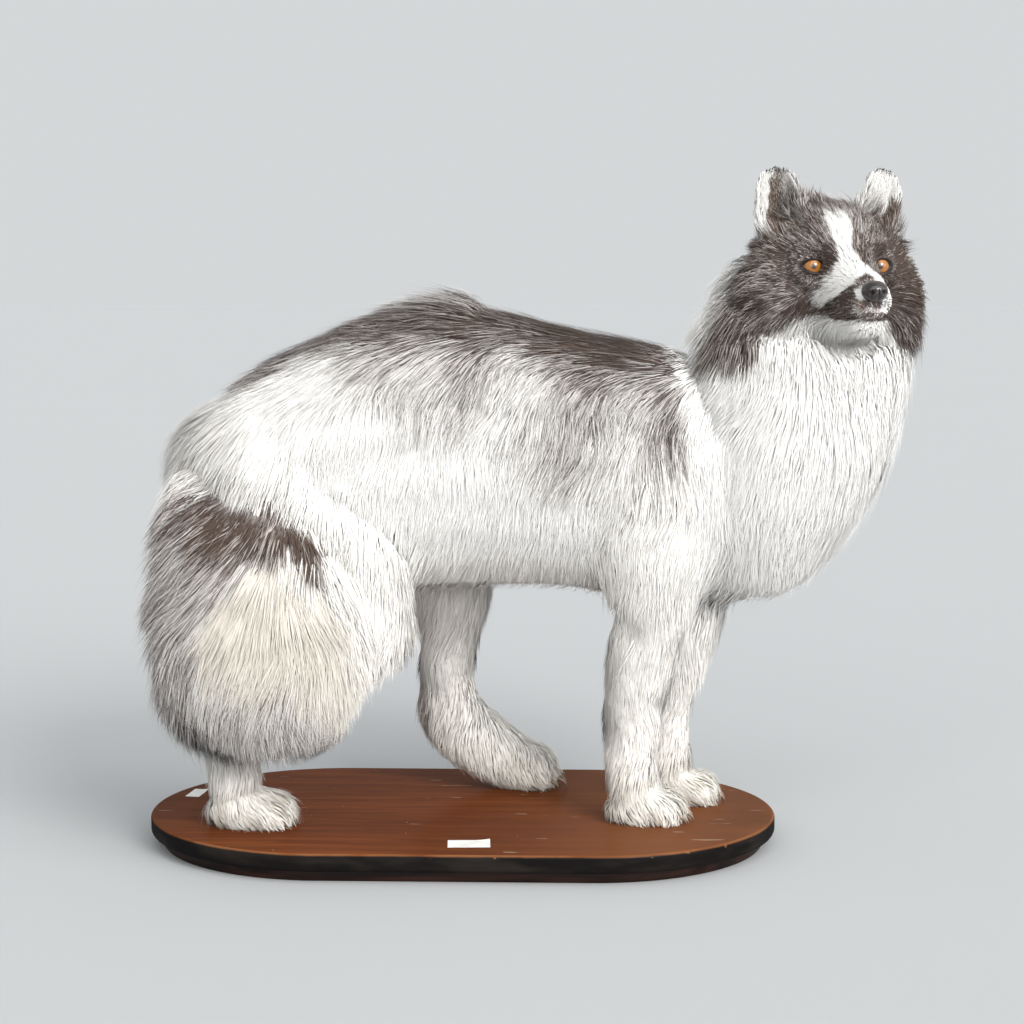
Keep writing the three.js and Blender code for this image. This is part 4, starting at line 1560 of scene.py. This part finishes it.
def plinth_material():
    """Dark wood of the low plinth, nearly black."""
    made, tree = new_material("dark_wood", Specular_IOR_Level=0.12, Coat_Weight=0.04, Coat_Roughness=0.3)
    grain = noise(tree, place_of(tree, scale=(0.08, 0.6, 1.0)), 120, detail=5)
    colour = blend_colour(tree, step(tree, grain, 0.35, 0.7), (0.007, 0.003, 0.002), (0.024, 0.009, 0.006))
    return varied(made, colour, Roughness=step(tree, grain, 0.3, 0.7, 0.35, 0.55),
                  Normal=bumped(tree, grain, 0.2, 0.0005))


# Each label's place on the deck, its size and its turn in degrees.
LABELS = {"label_front": ((12, -127), (36, 24), 3), "label_end": ((-250, 52), (13, 30), -8)}
LABEL_CURL = 7.2
LABEL_LIFT = 0.05                      # under the label, so that it lies clear of the varnish
PAPER_THICK = 0.16


def paper_label(name, place, size, turn):
    """A small blank paper label stuck on the deck, one corner lifting a little."""
    bm = bmesh.new()
    bmesh.ops.create_grid(bm, x_segments=12, y_segments=12, size=0.5)
    for vertex in bm.verts:
        x, y = vertex.co.x, vertex.co.y
        lift = LABEL_CURL * max(0.0, x + y - 0.6) ** 2
        vertex.co = Vector((x * size[0], y * size[1], lift)) * MM
    shell = bmesh.ops.extrude_face_region(bm, geom=bm.faces[:])["geom"]
    raised = [item for item in shell if isinstance(item, bmesh.types.BMVert)]
    bmesh.ops.translate(bm, verts=raised, vec=(0, 0, PAPER_THICK * MM))
    bmesh.ops.recalc_face_normals(bm, faces=bm.faces[:])
    place = Matrix.Translation((place[0] * MM, place[1] * MM, DECK + LABEL_LIFT * MM))
    bmesh.ops.transform(bm, matrix=place @ Matrix.Rotation(math.radians(turn), 4, "Z"), verts=bm.verts[:])
    return mesh_of(bm, name)


def paper_material():
    """White paper, a little yellowed."""
    made, tree = new_material("label_paper", Roughness=0.7)
    fibre = noise(tree, place_of(tree), 500, detail=4)
    aged = noise(tree, place_of(tree), 45, detail=2)
    colour = blend_colour(tree, step(tree, aged, 0.35, 0.7), (0.80, 0.80, 0.79), (0.72, 0.70, 0.66))
    return varied(made, colour, Normal=bumped(tree, fibre, 0.2, 0.0002))


# ------------------------------------------------------------------ camera, light and floor

CAMERA_AT = Vector((109, -2000, 510)) * MM
CAMERA_PITCH = math.radians(6.13)      # downwards
CAMERA_YAW = math.radians(1.85)        # towards the fox's tail
CAMERA_LENS = 79.56
AIM = Vector((0, 0, 0.3))              # where both lights look, in metres
WARM_WHITE = (1, 0.985, 0.965)
# The side that each light comes from, its strength and its breadth in degrees: broader is softer.
LIGHTS = {"key": ((2.2, -3.2, 2.3), 2.2, 26), "fill": ((1.6, -3.6, 1.2), 4.0, 110)}
SKY = (0.66, 0.678, 0.69, 1)
FLOOR = (0.448, 0.462, 0.471)
FLOOR_LIGHT = (0.456, 0.470, 0.479)


def build_camera():
    data = bpy.data.cameras.new("camera")
    data.lens = CAMERA_LENS
    camera = link("camera", data)
    camera.location = CAMERA_AT
    camera.rotation_euler = (math.pi / 2 - CAMERA_PITCH, 0, CAMERA_YAW)
    bpy.context.scene.camera = camera


def build_lights():
    for name, (place, strength, breadth) in LIGHTS.items():
        data = bpy.data.lights.new(name, "SUN")
        data.energy = strength
        data.color = WARM_WHITE
        data.angle = math.radians(breadth)
        lamp = link(name, data)
        lamp.location = place
        lamp.rotation_euler = (AIM - Vector(place)).to_track_quat("-Z", "Y").to_euler()


def build_stage():
    """A wide pale floor under an even sky."""
    bm = bmesh.new()
    bmesh.ops.create_grid(bm, x_segments=1, y_segments=1, size=30)
    floor = link("floor", mesh_of(bm, "floor"))
    paper, tree = new_material("pale_floor", Roughness=0.9, Specular_IOR_Level=0.2)
    tint = noise(tree, place_of(tree), 2.0)
    floor.data.materials.append(varied(paper, blend_colour(tree, tint, FLOOR, FLOOR_LIGHT)))
    world = bpy.data.worlds.new("studio")
    world.use_nodes = True
    backdrop = world.node_tree.nodes["Background"]
    backdrop.inputs["Color"].default_value = SKY
    backdrop.inputs["Strength"].default_value = 1.0
    bpy.context.scene.world = world


# ------------------------------------------------------------------ assembly

build_camera()
build_stage()
build_lights()
bpy.context.scene.view_settings.view_transform = "Standard"

outline = coat_outline()
hide = build_skin()
raise_skin(hide, outline)
skin = skin_values(hide, outline)
outside = skin["points"] + skin["normal"] * (skin["depth"] * 0.8)[:, None]
tone, brown, cream = markings(outside, skin["shares"])
plain = np.ones(len(tone))
set_attributes(hide, tone=tone, dark=smooth(0.15, 0.75, tone), brown=brown, cream=cream,
               along=0.7 * plain, across=0.5 * plain, streak=0.5 * plain, bare=skin["bare"])
coat_group = coat_colour_group()
finished("skin", hide, "skin", hide_material(coat_group), *FLESH)

FACE_FROM = -24                        # the face's short coat starts this far behind the eyes
RUFF_HAIR = {"width": 1.6, "pull": 0.12, "layer": 1.8}
LEG_HAIR = {"width": 1.5, "pull": 0.10, "layer": 1.0, "stray": 0.08, "wild": 4.0}


def coat():
    """Name, triangles, number of locks, slot, finish and hair of each piece of the coat."""
    long_fur = coat_material("long_fur", coat_group, 0.62, 0.08)
    short_fur = coat_material("short_fur", coat_group, 0.68, 0.05)
    home = skin["shares"].argmax(1)[skin["triangles"][:, 0]]
    middles = skin["points"][skin["triangles"]].mean(1)
    front = middles[:, 0] >= 0
    y = middles[:, 1] / MM
    face = head_coords(middles)[:, 1] > FACE_FROM

    def of(*regions):
        return np.isin(home, [REGIONS.index(region) for region in regions])

    pieces = (
        ("coat_flank_right", of("trunk") & (y < 0) & ~front, 25000, "coat_pale", long_fur, {}),
        ("coat_shoulder_right", of("trunk") & (y < 0) & front, 25000, "coat_pale", long_fur, {}),
        ("coat_flank_left", of("trunk") & (y >= 0) & ~front, 18500, "coat_pale", long_fur, {}),
        ("coat_shoulder_left", of("trunk") & (y >= 0) & front, 18500, "coat_pale", long_fur, {}),
        ("coat_ruff_right", of("neck") & (y < -4), 19000, "coat_pale", long_fur, RUFF_HAIR),
        ("coat_ruff_left", of("neck") & (y >= -4), 14000, "coat_pale", long_fur, RUFF_HAIR),
        ("coat_tail", of("tail"), 23000, "coat_pale", long_fur,
         {"pull": 0.2, "layer": 3.0, "stray": 0.04, "wild": 3.0}),
        ("coat_cheeks", of("head") & ~face, 22000, "coat_grizzled", long_fur,
         {"width": 1.0, "clump": 7, "contrast": 6.5, "stray": 0.10, "wild": 12.0}),
        ("coat_face", of("head") & face, 28000, "coat_grizzled", short_fur,
         {"width": 0.62, "clump": 6, "contrast": 6.5}),
        ("coat_ears", of("ear_right", "ear_left"), 9000, "coat_pale", short_fur,
         {"width": 0.7, "clump": 6, "pull": 0.2, "stray": 0.01, "layer": 1.0}),
        ("coat_forelegs", of("foreleg_right", "foreleg_left"), 19000, "coat_pale", short_fur, LEG_HAIR),
        ("coat_hindleg_right", of("hindleg_right"), 14000, "coat_pale", long_fur,
         {"width": 1.6, "pull": 0.10, "layer": 1.2}),
        ("coat_hindleg_left", of("hindleg_left"), 12000, "coat_pale", short_fur, LEG_HAIR))
    for name, chosen, count, slot, material, options in pieces:
        coat_piece(name, skin, outline, chosen, count, slot, material, **options)


coat()
for node_name, middle in (("eye_right", EYE_RIGHT), ("eye_left", EYE_LEFT)):
    name = "glass_" + node_name
    finished(name, eyeball(name, middle), "eye_glass", eye_material(name, middle), node_name)
finished("nose_pad", nose_pad(), "nose_leather", nose_material(), "nose")
finished("claws", claws(), "claw_horn", claw_material())
finished("whiskers", whiskers(), "whisker_hair", whisker_material())
finished("board", oval_slab("board", BASE_LENGTH, BASE_WIDTH, BOARD_UNDERSIDE, DECK / MM, 3.0, 4.5),
         "varnished_wood", varnish_material(), "base_board")
finished("plinth", oval_slab("plinth", BASE_LENGTH - 2 * PLINTH_INSET, BASE_WIDTH - 2 * PLINTH_INSET, 0,
                             BOARD_UNDERSIDE - PLINTH_GAP, 0.8, 1.2, segments=3),
         "dark_wood", plinth_material(), "base_plinth")
paper = paper_material()
for name, (place, size, turn) in LABELS.items():
    finished(name, paper_label(name, place, size, turn), "label_paper", paper)
